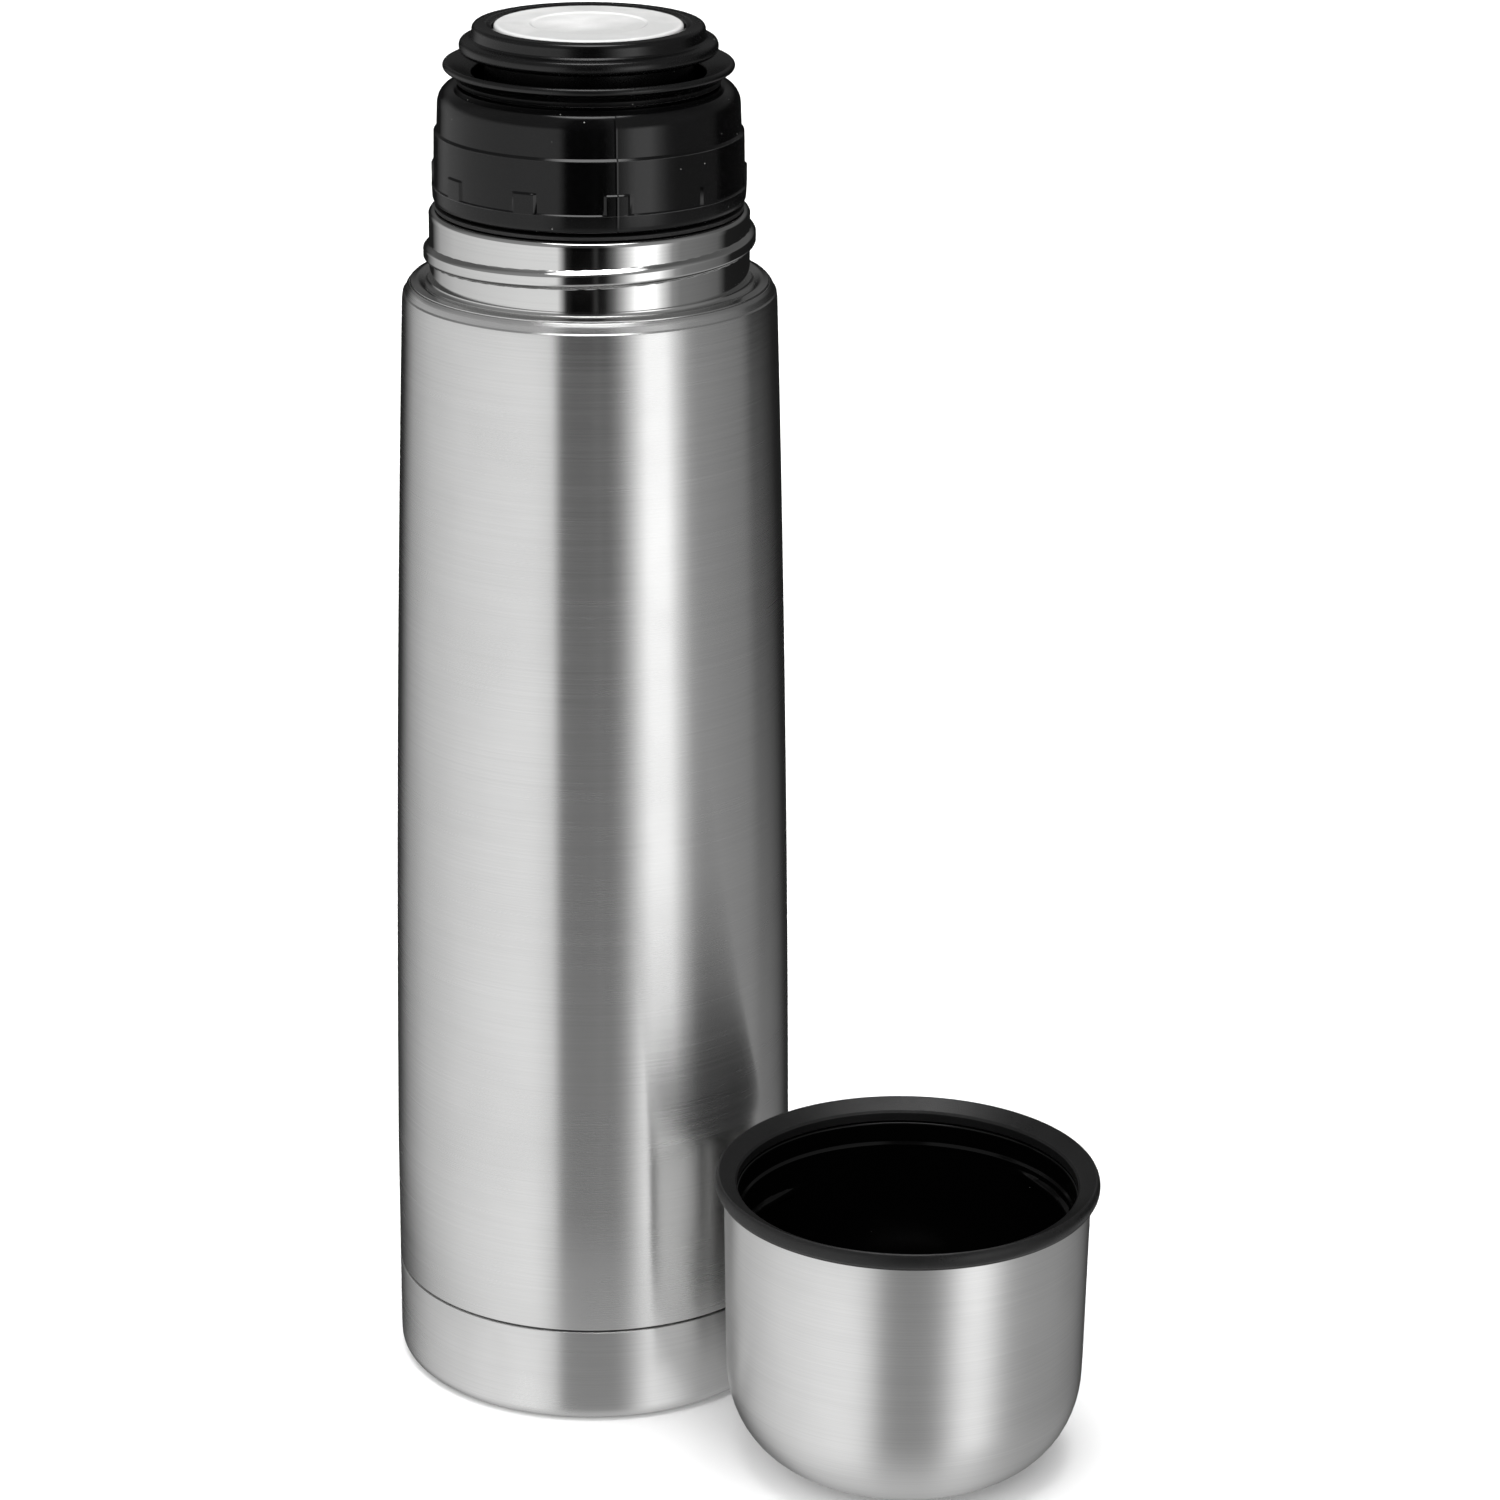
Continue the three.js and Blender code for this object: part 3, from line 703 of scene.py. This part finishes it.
def valve_gasket():
    profile = [
        (13.5, 177.9, 0.1),
        (18.2, 177.9, 0.2),
        (18.2, 178.9, 0.2),
        (16.6, VALVE_SEAT_BOTTOM - FIT, 0.3),
        (15.4, VALVE_SEAT_BOTTOM - FIT, 0.3),
        (13.5, 179.2, 0.2),
    ]
    return lathe("valve_ring", rounded(profile), even_angles(MEDIUM))


def stem_nut():
    """Hexagonal nut: the flats are cut from a turned ring."""
    bore = STEM_RADIUS + FIT
    across_flats = 7.4

    def hexagonal(radius, height, angle):
        from_flat = (angle + math.pi / 6) % (math.pi / 3) - math.pi / 6
        flat = across_flats / 2 / math.cos(from_flat)
        return (min(radius, flat) if radius > bore + 0.4 else radius), height

    profile = [(bore, 171.6, 0.15), (4.27, 171.6, 0.25), (4.27, 174.6, 0.25), (bore, 174.6, 0.15)]
    return lathe("nut", rounded(profile), even_angles(96), shape=hexagonal)


def button_spring():
    """Compression spring with its end coils closed up."""
    wire = 0.5
    coil_radius = 6.1
    bottom = HUB_TOP + FIT + wire
    top = 238.4 - wire
    turns = 7
    steps_per_turn = 48
    sides = 12

    def rise(turn):
        """Height along the spring: the first and last turns lie close to their neighbours."""
        closed_pitch = 2.4 * wire
        middle = (top - bottom - 2 * closed_pitch) / (turns - 2)
        if turn < 1:
            return closed_pitch * turn
        if turn > turns - 1:
            return top - bottom - closed_pitch * (turns - turn)
        return closed_pitch + middle * (turn - 1)

    vertices = []
    steps = turns * steps_per_turn
    for i in range(steps + 1):
        angle = 2 * math.pi * i / steps_per_turn
        height = bottom + rise(i / steps_per_turn)
        for j in range(sides):
            around = 2 * math.pi * j / sides
            radius = coil_radius + wire * math.cos(around)
            z = height + wire * math.sin(around)
            vertices.append((radius * math.cos(angle), radius * math.sin(angle), z))
    faces = []
    for i in range(steps):
        for j in range(sides):
            a = i * sides + j
            d = i * sides + (j + 1) % sides
            faces.append([a, a + sides, d + sides, d])
    faces.append(list(range(sides)))
    faces.append(list(range(steps * sides + sides - 1, steps * sides - 1, -1)))
    return add_piece("spring", vertices, faces, sharp_degrees=60)


# ---- Cup ----

def cup_wall(inset):
    """Radius of the cup's flared wall at a height, moved inwards."""
    return lambda z: CUP_WALL_RADIUS + 0.05 + CUP_FLARE * (z - CUP_CORNER_HEIGHT) - inset


def cup_outline(inset, top):
    """The cup's round bottom corner and its wall, moved inwards."""
    corner = arc(CUP_WALL_RADIUS - CUP_CORNER_WIDTH, CUP_CORNER_HEIGHT, CUP_CORNER_WIDTH - inset,
                 CUP_CORNER_HEIGHT - inset, -90, 0, 16)
    return corner + along(cup_wall(inset), 20, top, 8)


def cup_shell():
    recess = 0.5
    profile = [
        (0, recess, 0),
        (13.2, recess, 0.4),
        (14.2, 0, 0.4),
        *cup_outline(0, CUP_SHELL_TOP),
        *reversed(cup_outline(CUP_SHEET, CUP_SHELL_TOP)),
        (14.4, CUP_SHEET, 0.3),
        (13.1, recess + CUP_SHEET, 0.3),
        (0, recess + CUP_SHEET, 0),
    ]
    return lathe("cup_steel", rounded(profile, closed=False), even_angles(FINE), closed=False,
                 centre=CUP_CENTRE)


def cup_liner():
    """Black lining of the cup, with the thread that fits the bead on the neck."""
    inside_inset = LINER_INSET + LINER_THICKNESS - 0.1
    top = 48.3
    thread_radius = 28.45
    thread_start = math.radians(124.2)
    thread_bottom = 38.2

    def threaded(radius, height, angle):
        on_wall = thread_radius - 0.5 < radius < thread_radius + 0.25 and 36 < height < 44
        if not on_wall:
            return radius, height
        share = helix_ridge(angle, height, thread_start, thread_bottom, 0.8, 1, 0.06)
        return radius - 0.8 * share, height

    profile = [
        (0, 1.5, 0),
        (12.6, 1.5, 0.3),
        (14, LINER_INSET, 0.3),
        *cup_outline(LINER_INSET, top),
        (28.9, top, 0.25),
        (28.9, 44.75, 0.12),
        (28.5, 44.3, 0.15),
        *along(cup_wall(inside_inset), 43.6, 36.6, 30),
        *reversed(cup_outline(inside_inset, 34)),
        (0, LINER_INSET + LINER_THICKNESS, 0),
    ]
    return lathe("cup_lining", rounded(profile, closed=False), even_angles(FINE), closed=False,
                 shape=threaded, centre=CUP_CENTRE)


def cup_rim():
    """Matt rim over the steel's edge. Its top slopes down towards the drink."""
    groove_inside = 30.35
    groove_outside = 31.65
    lip_bottom = 48.9
    profile = [
        (29.1, 48.6, 0.1),
        (groove_inside, 48.6, 0.1),
        (groove_inside, CUP_SHELL_TOP + FIT, 0.1),
        (groove_outside, CUP_SHELL_TOP + FIT, 0.1),
        (groove_outside, lip_bottom, 0.15),
        (32.2, lip_bottom, 0.2),
        *arc(31.95, 50.6, 0.92, 1.5, -60, 60, 12),
        (32.2, CUP_TOP - 0.06, 0.15),
        (29.5, 50.5, 0.2),
        (29.15, 50.1, 0.2),
    ]
    return lathe("cup_lip", rounded(profile), even_angles(FINE), centre=CUP_CENTRE)


# ---- Material building blocks ----

class Nodes:
    """Adds nodes to a material and links them."""

    def __init__(self, owner, shader="Principled BSDF"):
        self.tree = owner.node_tree
        self.shader = self.tree.nodes[shader]

    def add(self, kind, **settings):
        node = self.tree.nodes.new(kind)
        for name, value in settings.items():
            setattr(node, name, value)
        return node

    def link(self, source, target):
        self.tree.links.new(source, target)

    def math(self, operation, first, second=None):
        node = self.add("ShaderNodeMath", operation=operation)
        for socket, value in zip(node.inputs, (first, second)):
            if hasattr(value, "is_linked"):
                self.link(value, socket)
            elif value is not None:
                socket.default_value = value
        return node.outputs[0]

    def noise(self, vector, scale, detail=2, roughness=0.5):
        node = self.add("ShaderNodeTexNoise")
        node.inputs["Scale"].default_value = scale
        node.inputs["Detail"].default_value = detail
        node.inputs["Roughness"].default_value = roughness
        self.link(vector, node.inputs["Vector"])
        return node.outputs[0]

    def remap(self, value, old_low, old_high, low, high):
        node = self.add("ShaderNodeMapRange")
        ends = (("From Min", old_low), ("From Max", old_high), ("To Min", low), ("To Max", high))
        for name, number in ends:
            node.inputs[name].default_value = number
        self.link(value, node.inputs["Value"])
        return node.outputs["Result"]

    def mix_color(self, factor, first, second):
        node = self.add("ShaderNodeMix", data_type="RGBA")
        colors = [socket for socket in node.inputs if socket.type == "RGBA"]
        self.link(factor, node.inputs[0])
        for socket, value in zip(colors, (first, second)):
            if hasattr(value, "is_linked"):
                self.link(value, socket)
            else:
                socket.default_value = (*value, 1)
        return [socket for socket in node.outputs if socket.type == "RGBA"][0]

    def object_position(self):
        return self.add("ShaderNodeTexCoord").outputs["Object"]

    def scaled(self, vector, scale):
        node = self.add("ShaderNodeVectorMath", operation="MULTIPLY")
        self.link(vector, node.inputs[0])
        node.inputs[1].default_value = scale
        return node.outputs[0]

    def edge_wear_and_highlight(self):
        return self.add("ShaderNodeAttribute", attribute_name="edge_wear_and_highlight").outputs["Fac"]

    def bump(self, height, strength, distance, normal=None):
        node = self.add("ShaderNodeBump")
        node.inputs["Strength"].default_value = strength
        node.inputs["Distance"].default_value = distance
        self.link(height, node.inputs["Height"])
        if normal is not None:
            self.link(normal, node.inputs["Normal"])
        return node.outputs[0]


def new_material(name, roughness, metallic=0.0, **sockets):
    material = bpy.data.materials.new(name)
    material.use_nodes = True
    nodes = Nodes(material)
    nodes.shader.inputs["Roughness"].default_value = roughness
    nodes.shader.inputs["Metallic"].default_value = metallic
    for socket, value in sockets.items():
        nodes.shader.inputs[socket.replace("_", " ")].default_value = value
    return material, nodes


def scaled_color(color, factor):
    """The colour made darker or lighter, up to white."""
    return tuple(min(1, k * factor) for k in color)


def turned_position(nodes, rise):
    """Position stretched round the axis: streaks of a noise run round the piece like brushing.
    rise is 1 where the radius grows with height and -1 where it shrinks."""
    position = nodes.object_position()
    split = nodes.add("ShaderNodeSeparateXYZ")
    nodes.link(position, split.inputs[0])
    flat = nodes.add("ShaderNodeVectorMath", operation="LENGTH")
    nodes.link(nodes.scaled(position, (1, 1, 0)), flat.inputs[0])
    across = nodes.math("MULTIPLY_ADD", flat.outputs["Value"], rise)
    nodes.link(split.outputs["Z"], across.node.inputs[2])
    combined = nodes.add("ShaderNodeCombineXYZ")
    nodes.link(split.outputs["X"], combined.inputs["X"])
    nodes.link(split.outputs["Y"], combined.inputs["Y"])
    nodes.link(across, combined.inputs["Z"])
    return position, combined.outputs[0]


def brushed_steel(name, roughness, shade, stretch=1.0, rise=-1.0, smudges=0.5):
    """Steel brushed round the piece: reflections blur along the axis and stay crisp round it."""
    material, nodes = new_material(name, roughness, metallic=1.0, Anisotropic=stretch,
                                   Anisotropic_Rotation=0.25)
    position, turned = turned_position(nodes, rise)
    fine = nodes.noise(nodes.scaled(turned, (22, 22, 5200)), 1, detail=3, roughness=0.65)
    broad = nodes.noise(nodes.scaled(turned, (14, 14, 700)), 1, detail=2)
    cloud = nodes.noise(position, 38, detail=3, roughness=0.6)
    streaks = nodes.math("ADD", nodes.math("MULTIPLY", fine, 0.82), nodes.math("MULTIPLY", broad, 0.18))
    tone = nodes.remap(streaks, 0.3, 0.7, 0.0, 1.0)
    dark = tuple(shade * k for k in (0.94, 0.94, 0.935))
    light = tuple(shade * k for k in (1.06, 1.06, 1.055))
    brushed = nodes.mix_color(tone, dark, light)
    pale_edge_share = nodes.math("MULTIPLY", nodes.edge_wear_and_highlight(), nodes.remap(cloud, 0.42, 0.6, 0.0, 0.6))
    edges = nodes.mix_color(pale_edge_share, brushed, tuple(min(1, shade * k) for k in (1.25, 1.25, 1.24)))
    nodes.link(edges, nodes.shader.inputs["Base Color"])
    rough = nodes.math("ADD", nodes.remap(streaks, 0.3, 0.7, roughness - 0.02, roughness + 0.02),
                       nodes.remap(cloud, 0.35, 0.7, -0.02 * smudges, 0.06 * smudges))
    nodes.link(rough, nodes.shader.inputs["Roughness"])
    nodes.link(nodes.bump(streaks, 0.1, 0.00003), nodes.shader.inputs["Normal"])
    tangent = nodes.add("ShaderNodeTangent", direction_type="RADIAL", axis="Z")
    nodes.link(tangent.outputs[0], nodes.shader.inputs["Tangent"])
    return material


def polished_steel(name, roughness, shade, satin_below=None):
    """Bright turned steel with faint polishing lines and a few dull patches. Below a height in
    millimetres, if one is given, it turns to a fine satin."""
    material, nodes = new_material(name, roughness, metallic=1.0)
    position, turned = turned_position(nodes, -1.0)
    lines = nodes.noise(nodes.scaled(turned, (9, 9, 2600)), 1, detail=3)
    cloud = nodes.noise(position, 70, detail=3)
    tone = nodes.remap(lines, 0.3, 0.7, 0.0, 1.0)
    dark = tuple(shade * k for k in (0.95, 0.95, 0.945))
    light = (shade, shade, shade * 0.99)
    nodes.link(nodes.mix_color(tone, dark, light), nodes.shader.inputs["Base Color"])
    patches = nodes.remap(cloud, 0.45, 0.7, roughness, roughness + 0.07)
    if satin_below:
        split = nodes.add("ShaderNodeSeparateXYZ")
        nodes.link(position, split.inputs[0])
        satin = nodes.remap(split.outputs["Z"], satin_below * MM, (satin_below - 1.2) * MM, 0, 1)
        grain = nodes.noise(position, 4200, detail=2)
        satin = nodes.math("MULTIPLY", satin, nodes.remap(grain, 0.3, 0.7, 0.14, 0.2))
        patches = nodes.math("ADD", patches, satin)
    nodes.link(patches, nodes.shader.inputs["Roughness"])
    nodes.link(nodes.bump(lines, 0.1, 0.00002), nodes.shader.inputs["Normal"])
    return material


DUST_CELL = 1.3 * MM
SPECK_RADIUS = 0.09          # as a share of a cell


def dust(nodes, position, chance):
    """Mask of small specks, one in a few cells of a Voronoi pattern."""
    cells = nodes.add("ShaderNodeTexVoronoi")
    cells.inputs["Scale"].default_value = 1 / DUST_CELL
    nodes.link(position, cells.inputs["Vector"])
    near = nodes.math("LESS_THAN", cells.outputs["Distance"], SPECK_RADIUS)
    split = nodes.add("ShaderNodeSeparateColor")
    nodes.link(cells.outputs["Color"], split.inputs[0])
    chosen = nodes.math("LESS_THAN", split.outputs[0], chance)
    return nodes.math("MULTIPLY", near, chosen)


def moulded_plastic(name, color, worn_and_lit_edge_color, roughness, grain_size, grain_depth, dusty=0.0, **sockets):
    """Moulded plastic: fine grain, cloudy gloss, paler edges and, where asked, specks of dust. The
    paler edges are wear, and on the glossy and satin black partly a painted highlight.
    """
    material, nodes = new_material(name, roughness, **sockets)
    position = nodes.object_position()
    grain = nodes.noise(position, 1 / (grain_size * MM), detail=3, roughness=0.6)
    cloud = nodes.noise(position, 55, detail=3, roughness=0.55)
    tone = nodes.remap(cloud, 0.35, 0.65, 0.0, 1.0)
    tinted = nodes.mix_color(tone, scaled_color(color, 0.85), scaled_color(color, 1.12))
    # Paler colour on outer edges: wear, and where the edge colour is well above the body colour, as on
    # the glossy and satin black, a painted highlight along the edge.
    pale_edge_share = nodes.math("MULTIPLY", nodes.edge_wear_and_highlight(), nodes.remap(cloud, 0.4, 0.65, 0.25, 1.0))
    surface = nodes.mix_color(pale_edge_share, tinted, worn_and_lit_edge_color)
    rough = nodes.math("ADD", nodes.remap(cloud, 0.35, 0.7, roughness * 0.8, roughness * 1.25),
                       nodes.remap(grain, 0.3, 0.7, -0.03, 0.03))
    if dusty:
        specks = dust(nodes, position, dusty)
        surface = nodes.mix_color(specks, surface, (0.25, 0.25, 0.24))
        rough = nodes.math("ADD", rough, nodes.math("MULTIPLY", specks, 0.5))
    nodes.link(surface, nodes.shader.inputs["Base Color"])
    nodes.link(rough, nodes.shader.inputs["Roughness"])
    nodes.link(nodes.bump(grain, 0.5, grain_depth * MM), nodes.shader.inputs["Normal"])
    return material


def plain_metal(name, color, roughness, grain_size):
    """Small metal hardware with a cloudy, finely pitted surface."""
    material, nodes = new_material(name, roughness, metallic=1.0)
    position = nodes.object_position()
    cloud = nodes.noise(position, 160, detail=3)
    pits = nodes.noise(position, 1 / (grain_size * MM), detail=2)
    tone = nodes.remap(cloud, 0.35, 0.65, 0.0, 1.0)
    tinted = nodes.mix_color(tone, scaled_color(color, 0.8), scaled_color(color, 1.1))
    nodes.link(tinted, nodes.shader.inputs["Base Color"])
    rough = nodes.remap(cloud, 0.3, 0.7, roughness * 0.75, roughness * 1.3)
    nodes.link(rough, nodes.shader.inputs["Roughness"])
    nodes.link(nodes.bump(pits, 0.35, 0.00003), nodes.shader.inputs["Normal"])
    return material


MATERIALS = {
    "wall_steel": brushed_steel("wall_steel", 0.25, 0.66),
    "base_steel": brushed_steel("base_steel", 0.29, 0.7, smudges=1.0),
    "cup_steel": brushed_steel("cup_steel", 0.36, 0.72, stretch=0.8, rise=1.0, smudges=0.8),
    "neck_steel": polished_steel("neck_steel", 0.05, 0.57, satin_below=198.1),
    "vessel_steel": polished_steel("vessel_steel", 0.22, 0.6),
    "foil": plain_metal("foil", (0.75, 0.76, 0.77), 0.28, 0.8),
    "getter_metal": plain_metal("getter_metal", (0.33, 0.32, 0.31), 0.6, 0.3),
    "braze": plain_metal("braze", (0.65, 0.54, 0.3), 0.42, 0.5),
    "spring_steel": plain_metal("spring_steel", (0.5, 0.5, 0.5), 0.28, 0.2),
    # The glossy and satin black have a paler edge colour that is partly a painted highlight, standing
    # for the light lines along their rounded edges.
    "gloss_black": moulded_plastic("gloss_black", (0.0013, 0.0013, 0.0014), (0.03, 0.03, 0.03), 0.12,
                                   0.5, 0.004, dusty=0.08, Specular_IOR_Level=0.28),
    "satin_black": moulded_plastic("satin_black", (0.0017, 0.0017, 0.0018), (0.035, 0.035, 0.035), 0.26,
                                   0.25, 0.006, dusty=0.05, Specular_IOR_Level=0.36),
    "lining_black": moulded_plastic("lining_black", (0.001, 0.001, 0.001), (0.004, 0.004, 0.004), 0.12,
                                    0.5, 0.004, dusty=0.015, Specular_IOR_Level=0.24),
    "matt_black": moulded_plastic("matt_black", (0.008, 0.008, 0.0081), (0.02, 0.02, 0.02), 0.36,
                                  0.22, 0.08, Specular_IOR_Level=0.3),
    "natural_plastic": moulded_plastic("natural_plastic", (0.62, 0.64, 0.63), (0.7, 0.72, 0.71), 0.42,
                                       0.4, 0.01),
    "white_plastic": moulded_plastic("white_plastic", (0.7, 0.7, 0.695), (0.74, 0.74, 0.735), 0.2,
                                     0.6, 0.003),
    "black_silicone": moulded_plastic("black_silicone", (0.01, 0.01, 0.01), (0.02, 0.02, 0.02), 0.6,
                                      0.2, 0.01),
    "white_silicone": moulded_plastic("white_silicone", (0.7, 0.7, 0.68), (0.74, 0.74, 0.72), 0.6,
                                      0.2, 0.01),
    "grey_silicone": moulded_plastic("grey_silicone", (0.28, 0.3, 0.31), (0.32, 0.34, 0.35), 0.6,
                                     0.2, 0.01),
}


# ---- Assembly ----

def place(build, node, body, material):
    """Builds a piece, gives it its material, and lets it stand for its CAD node."""
    piece = build()
    piece.data.materials.append(MATERIALS[material])
    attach(piece, body)
    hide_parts(node)
    return piece


place(outer_shell, "outer_shell", "flask", "wall_steel")
place(neck_ring, "neck_ring", "flask", "neck_steel")
place(base_cap, "base_cap", "flask", "base_steel")
place(inner_vessel, "inner_vessel", "flask", "vessel_steel")
place(radiation_foil, "radiation_foil", "flask", "foil")
place(vacuum_base, "vacuum_base", "flask", "vessel_steel")
place(getter, "getter", "flask", "getter_metal")
place(vacuum_seal, "vacuum_seal", "flask", "braze")
place(neck_gasket, "neck_gasket", "stopper_seal", "black_silicone")
place(stopper_housing, "stopper_housing", "stopper", "gloss_black")
place(pour_lip, "pour_lip", "stopper", "satin_black")
place(stopper_cap, "stopper_cap", "stopper", "satin_black")
place(valve_seat, "valve_seat", "stopper", "natural_plastic")
place(push_button, "push_button", "button", "white_plastic")
place(button_seal, "button_seal", "button", "white_silicone")
place(valve_stem, "valve_stem", "button", "natural_plastic")
place(valve_head, "valve_head", "button", "natural_plastic")
place(valve_gasket, "valve_gasket", "button", "grey_silicone")
place(stem_nut, "stem_nut", "button", "spring_steel")
place(cup_shell, "cup_shell", "cup", "cup_steel")
place(cup_liner, "cup_liner", "cup", "lining_black")
place(cup_rim, "cup_rim", "cup", "matt_black")

spring = place(button_spring, "button_spring", "stopper", "spring_steel")
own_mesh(spring)


# ---- Camera ----
CAMERA_PLACE = (0.02762, -0.7789, 0.38912)
CAMERA_PITCH = 0.3407
CAMERA_ROLL = 0.00733
CAMERA_LENS = 113.5


def add_camera():
    data = bpy.data.cameras.new("camera")
    data.lens = CAMERA_LENS
    data.sensor_width = 36
    camera = bpy.data.objects.new("camera", data)
    bpy.context.scene.collection.objects.link(camera)
    look = Matrix.Rotation(math.pi / 2 - CAMERA_PITCH, 4, "X") @ Matrix.Rotation(CAMERA_ROLL, 4, "Z")
    camera.matrix_world = Matrix.Translation(CAMERA_PLACE) @ look
    bpy.context.scene.camera = camera


# ---- Floor and light ----

STAGE_SIZE = 6               # half of the floor's width in metres


def stage_piece(name, vertices, faces, roughness, **sockets):
    """A piece of the studio. Reflections on the flask look past it to the world's panels."""
    mesh = bpy.data.meshes.new(name)
    mesh.from_pydata(vertices, [], faces)
    piece = bpy.data.objects.new(name, mesh)
    piece.visible_glossy = False
    bpy.context.scene.collection.objects.link(piece)
    material, _ = new_material(name, roughness, Specular_IOR_Level=0, **sockets)
    mesh.materials.append(material)
    return piece


def square(height):
    """Corners of the stage at a height."""
    size = STAGE_SIZE
    return [(x, y, height) for x, y in ((-size, -size), (size, -size), (size, size), (-size, size))]


def add_backdrop():
    """White walls behind the floor. Only the camera sees them, so they don't change the light."""
    vertices = square(-0.01) + square(STAGE_SIZE)
    faces = [[i, (i + 1) % 4, (i + 1) % 4 + 4, i + 4] for i in range(4)]
    backdrop = stage_piece("backdrop", vertices, faces, 0.5, Base_Color=(0, 0, 0, 1),
                           Emission_Color=(1, 1, 1, 1), Emission_Strength=1)
    backdrop.visible_diffuse = False
    backdrop.visible_transmission = False
    backdrop.visible_shadow = False


def add_floor():
    """A plain pale floor, just under the flask."""
    floor = stage_piece("floor", square(0), [[0, 1, 2, 3]], 1, Base_Color=(0.9, 0.9, 0.9, 1))
    floor.location.z = -0.0001


# Brightness of the studio by direction, in degrees from the viewer towards +X.
# Level with the flask, a dark gap faces it between a broad panel on the left and a narrow bright
# one on the right. A slim pale patch stands in the gap.
PANELS = [
    (-180, 0.01), (-150, 0.02), (-140, 0.3), (-132, 0.54), (-111, 0.8), (-81, 0.98), (-45, 1.12),
    (-21, 1.15), (-15, 0.03), (-10, 0.004), (4, 0.004), (5, 0.05), (7.5, 0.05), (8.5, 0.004),
    (13, 0.02), (19, 0.2), (25, 0.7), (31, 1.4), (36, 2.1), (48, 2.2), (55, 1.2), (63, 0.44),
    (70, 0.29), (95, 0.22), (106, 0.18), (116, 0.02), (180, 0.01),
]
# The lit floor, where the panels and the gap are mirrored more softly.
FLOOR = [
    (-180, 0.03), (-150, 0.03), (-140, 0.15), (-130, 0.36), (-113, 0.66), (-98, 0.8), (-85, 0.95),
    (-63, 1.1), (-40, 1.18), (-33, 1.12), (-24, 0.75), (-17, 0.52), (-6, 0.48), (17, 0.48), (24, 0.56),
    (33, 0.98), (44, 0.95), (54, 0.66), (66, 0.54), (90, 0.46), (130, 0.44), (148, 0.25), (155, 0.05),
    (180, 0.03),
]
# The ceiling, below the light that hangs straight overhead.
CEILING = [
    (-180, 0.12), (-130, 0.15), (-100, 0.33), (-24, 0.4), (-14, 0.06), (12, 0.06), (24, 0.4),
    (80, 0.33), (120, 0.15), (180, 0.12),
]
OVERHEAD = 7                 # the light straight overhead
UNDERFOOT = 0.7              # the floor straight below
BRIGHTEST = 7                # the ramps' colours are shares of this, since they end at 1


def ramp_by_azimuth(nodes, split, levels):
    """Brightness by the direction from the viewer, as a share of the brightest. The viewer's place
    is towards -Y."""
    toward_viewer = nodes.math("MULTIPLY", split.outputs["Y"], -1)
    azimuth = nodes.math("ARCTAN2", split.outputs["X"], toward_viewer)
    turn = nodes.remap(azimuth, -math.pi, math.pi, 0, 1)
    ramp = nodes.add("ShaderNodeValToRGB")
    elements = ramp.color_ramp.elements
    elements.remove(elements[1])
    for i, (degrees, level) in enumerate(levels):
        spot = (degrees + 180) / 360
        element = elements[0] if i == 0 else elements.new(spot)
        element.position = spot
        element.color = (*[level / BRIGHTEST] * 3, 1)
    nodes.link(turn, ramp.inputs["Fac"])
    return ramp.outputs["Color"]


def add_world():
    """Soft panels round the flask, a light overhead and the lit floor, as plain light."""
    world = bpy.data.worlds.new("studio")
    world.use_nodes = True
    nodes = Nodes(world, "Background")
    split = nodes.add("ShaderNodeSeparateXYZ")
    nodes.link(nodes.add("ShaderNodeTexCoord").outputs["Generated"], split.inputs[0])
    height = split.outputs["Z"]
    # Each step: the heights between which the next layer takes over, and that layer.
    layers = [
        (-0.26, -0.44, ramp_by_azimuth(nodes, split, FLOOR)),
        (-0.75, -0.95, (UNDERFOOT / BRIGHTEST,) * 3),
        (0.1, 0.3, ramp_by_azimuth(nodes, split, CEILING)),
        (0.95, 0.98, (OVERHEAD / BRIGHTEST,) * 3),
    ]
    surround = ramp_by_azimuth(nodes, split, PANELS)
    for start, end, layer in layers:
        surround = nodes.mix_color(nodes.remap(height, start, end, 0, 1), surround, layer)
    nodes.shader.inputs["Strength"].default_value = BRIGHTEST
    nodes.link(surround, nodes.shader.inputs["Color"])
    bpy.context.scene.world = world


def add_top_light():
    """A wide soft light overhead. It brightens the floor and the white button, not the reflections."""
    data = bpy.data.lights.new("top_light", "SUN")
    data.angle = math.radians(100)
    data.energy = 3.2
    light = bpy.data.objects.new("top_light", data)
    light.rotation_euler = (math.radians(12), math.radians(-6), 0)
    light.visible_glossy = False
    bpy.context.scene.collection.objects.link(light)


add_camera()
add_floor()
add_backdrop()
add_world()
add_top_light()
bpy.context.scene.view_settings.view_transform = "Standard"
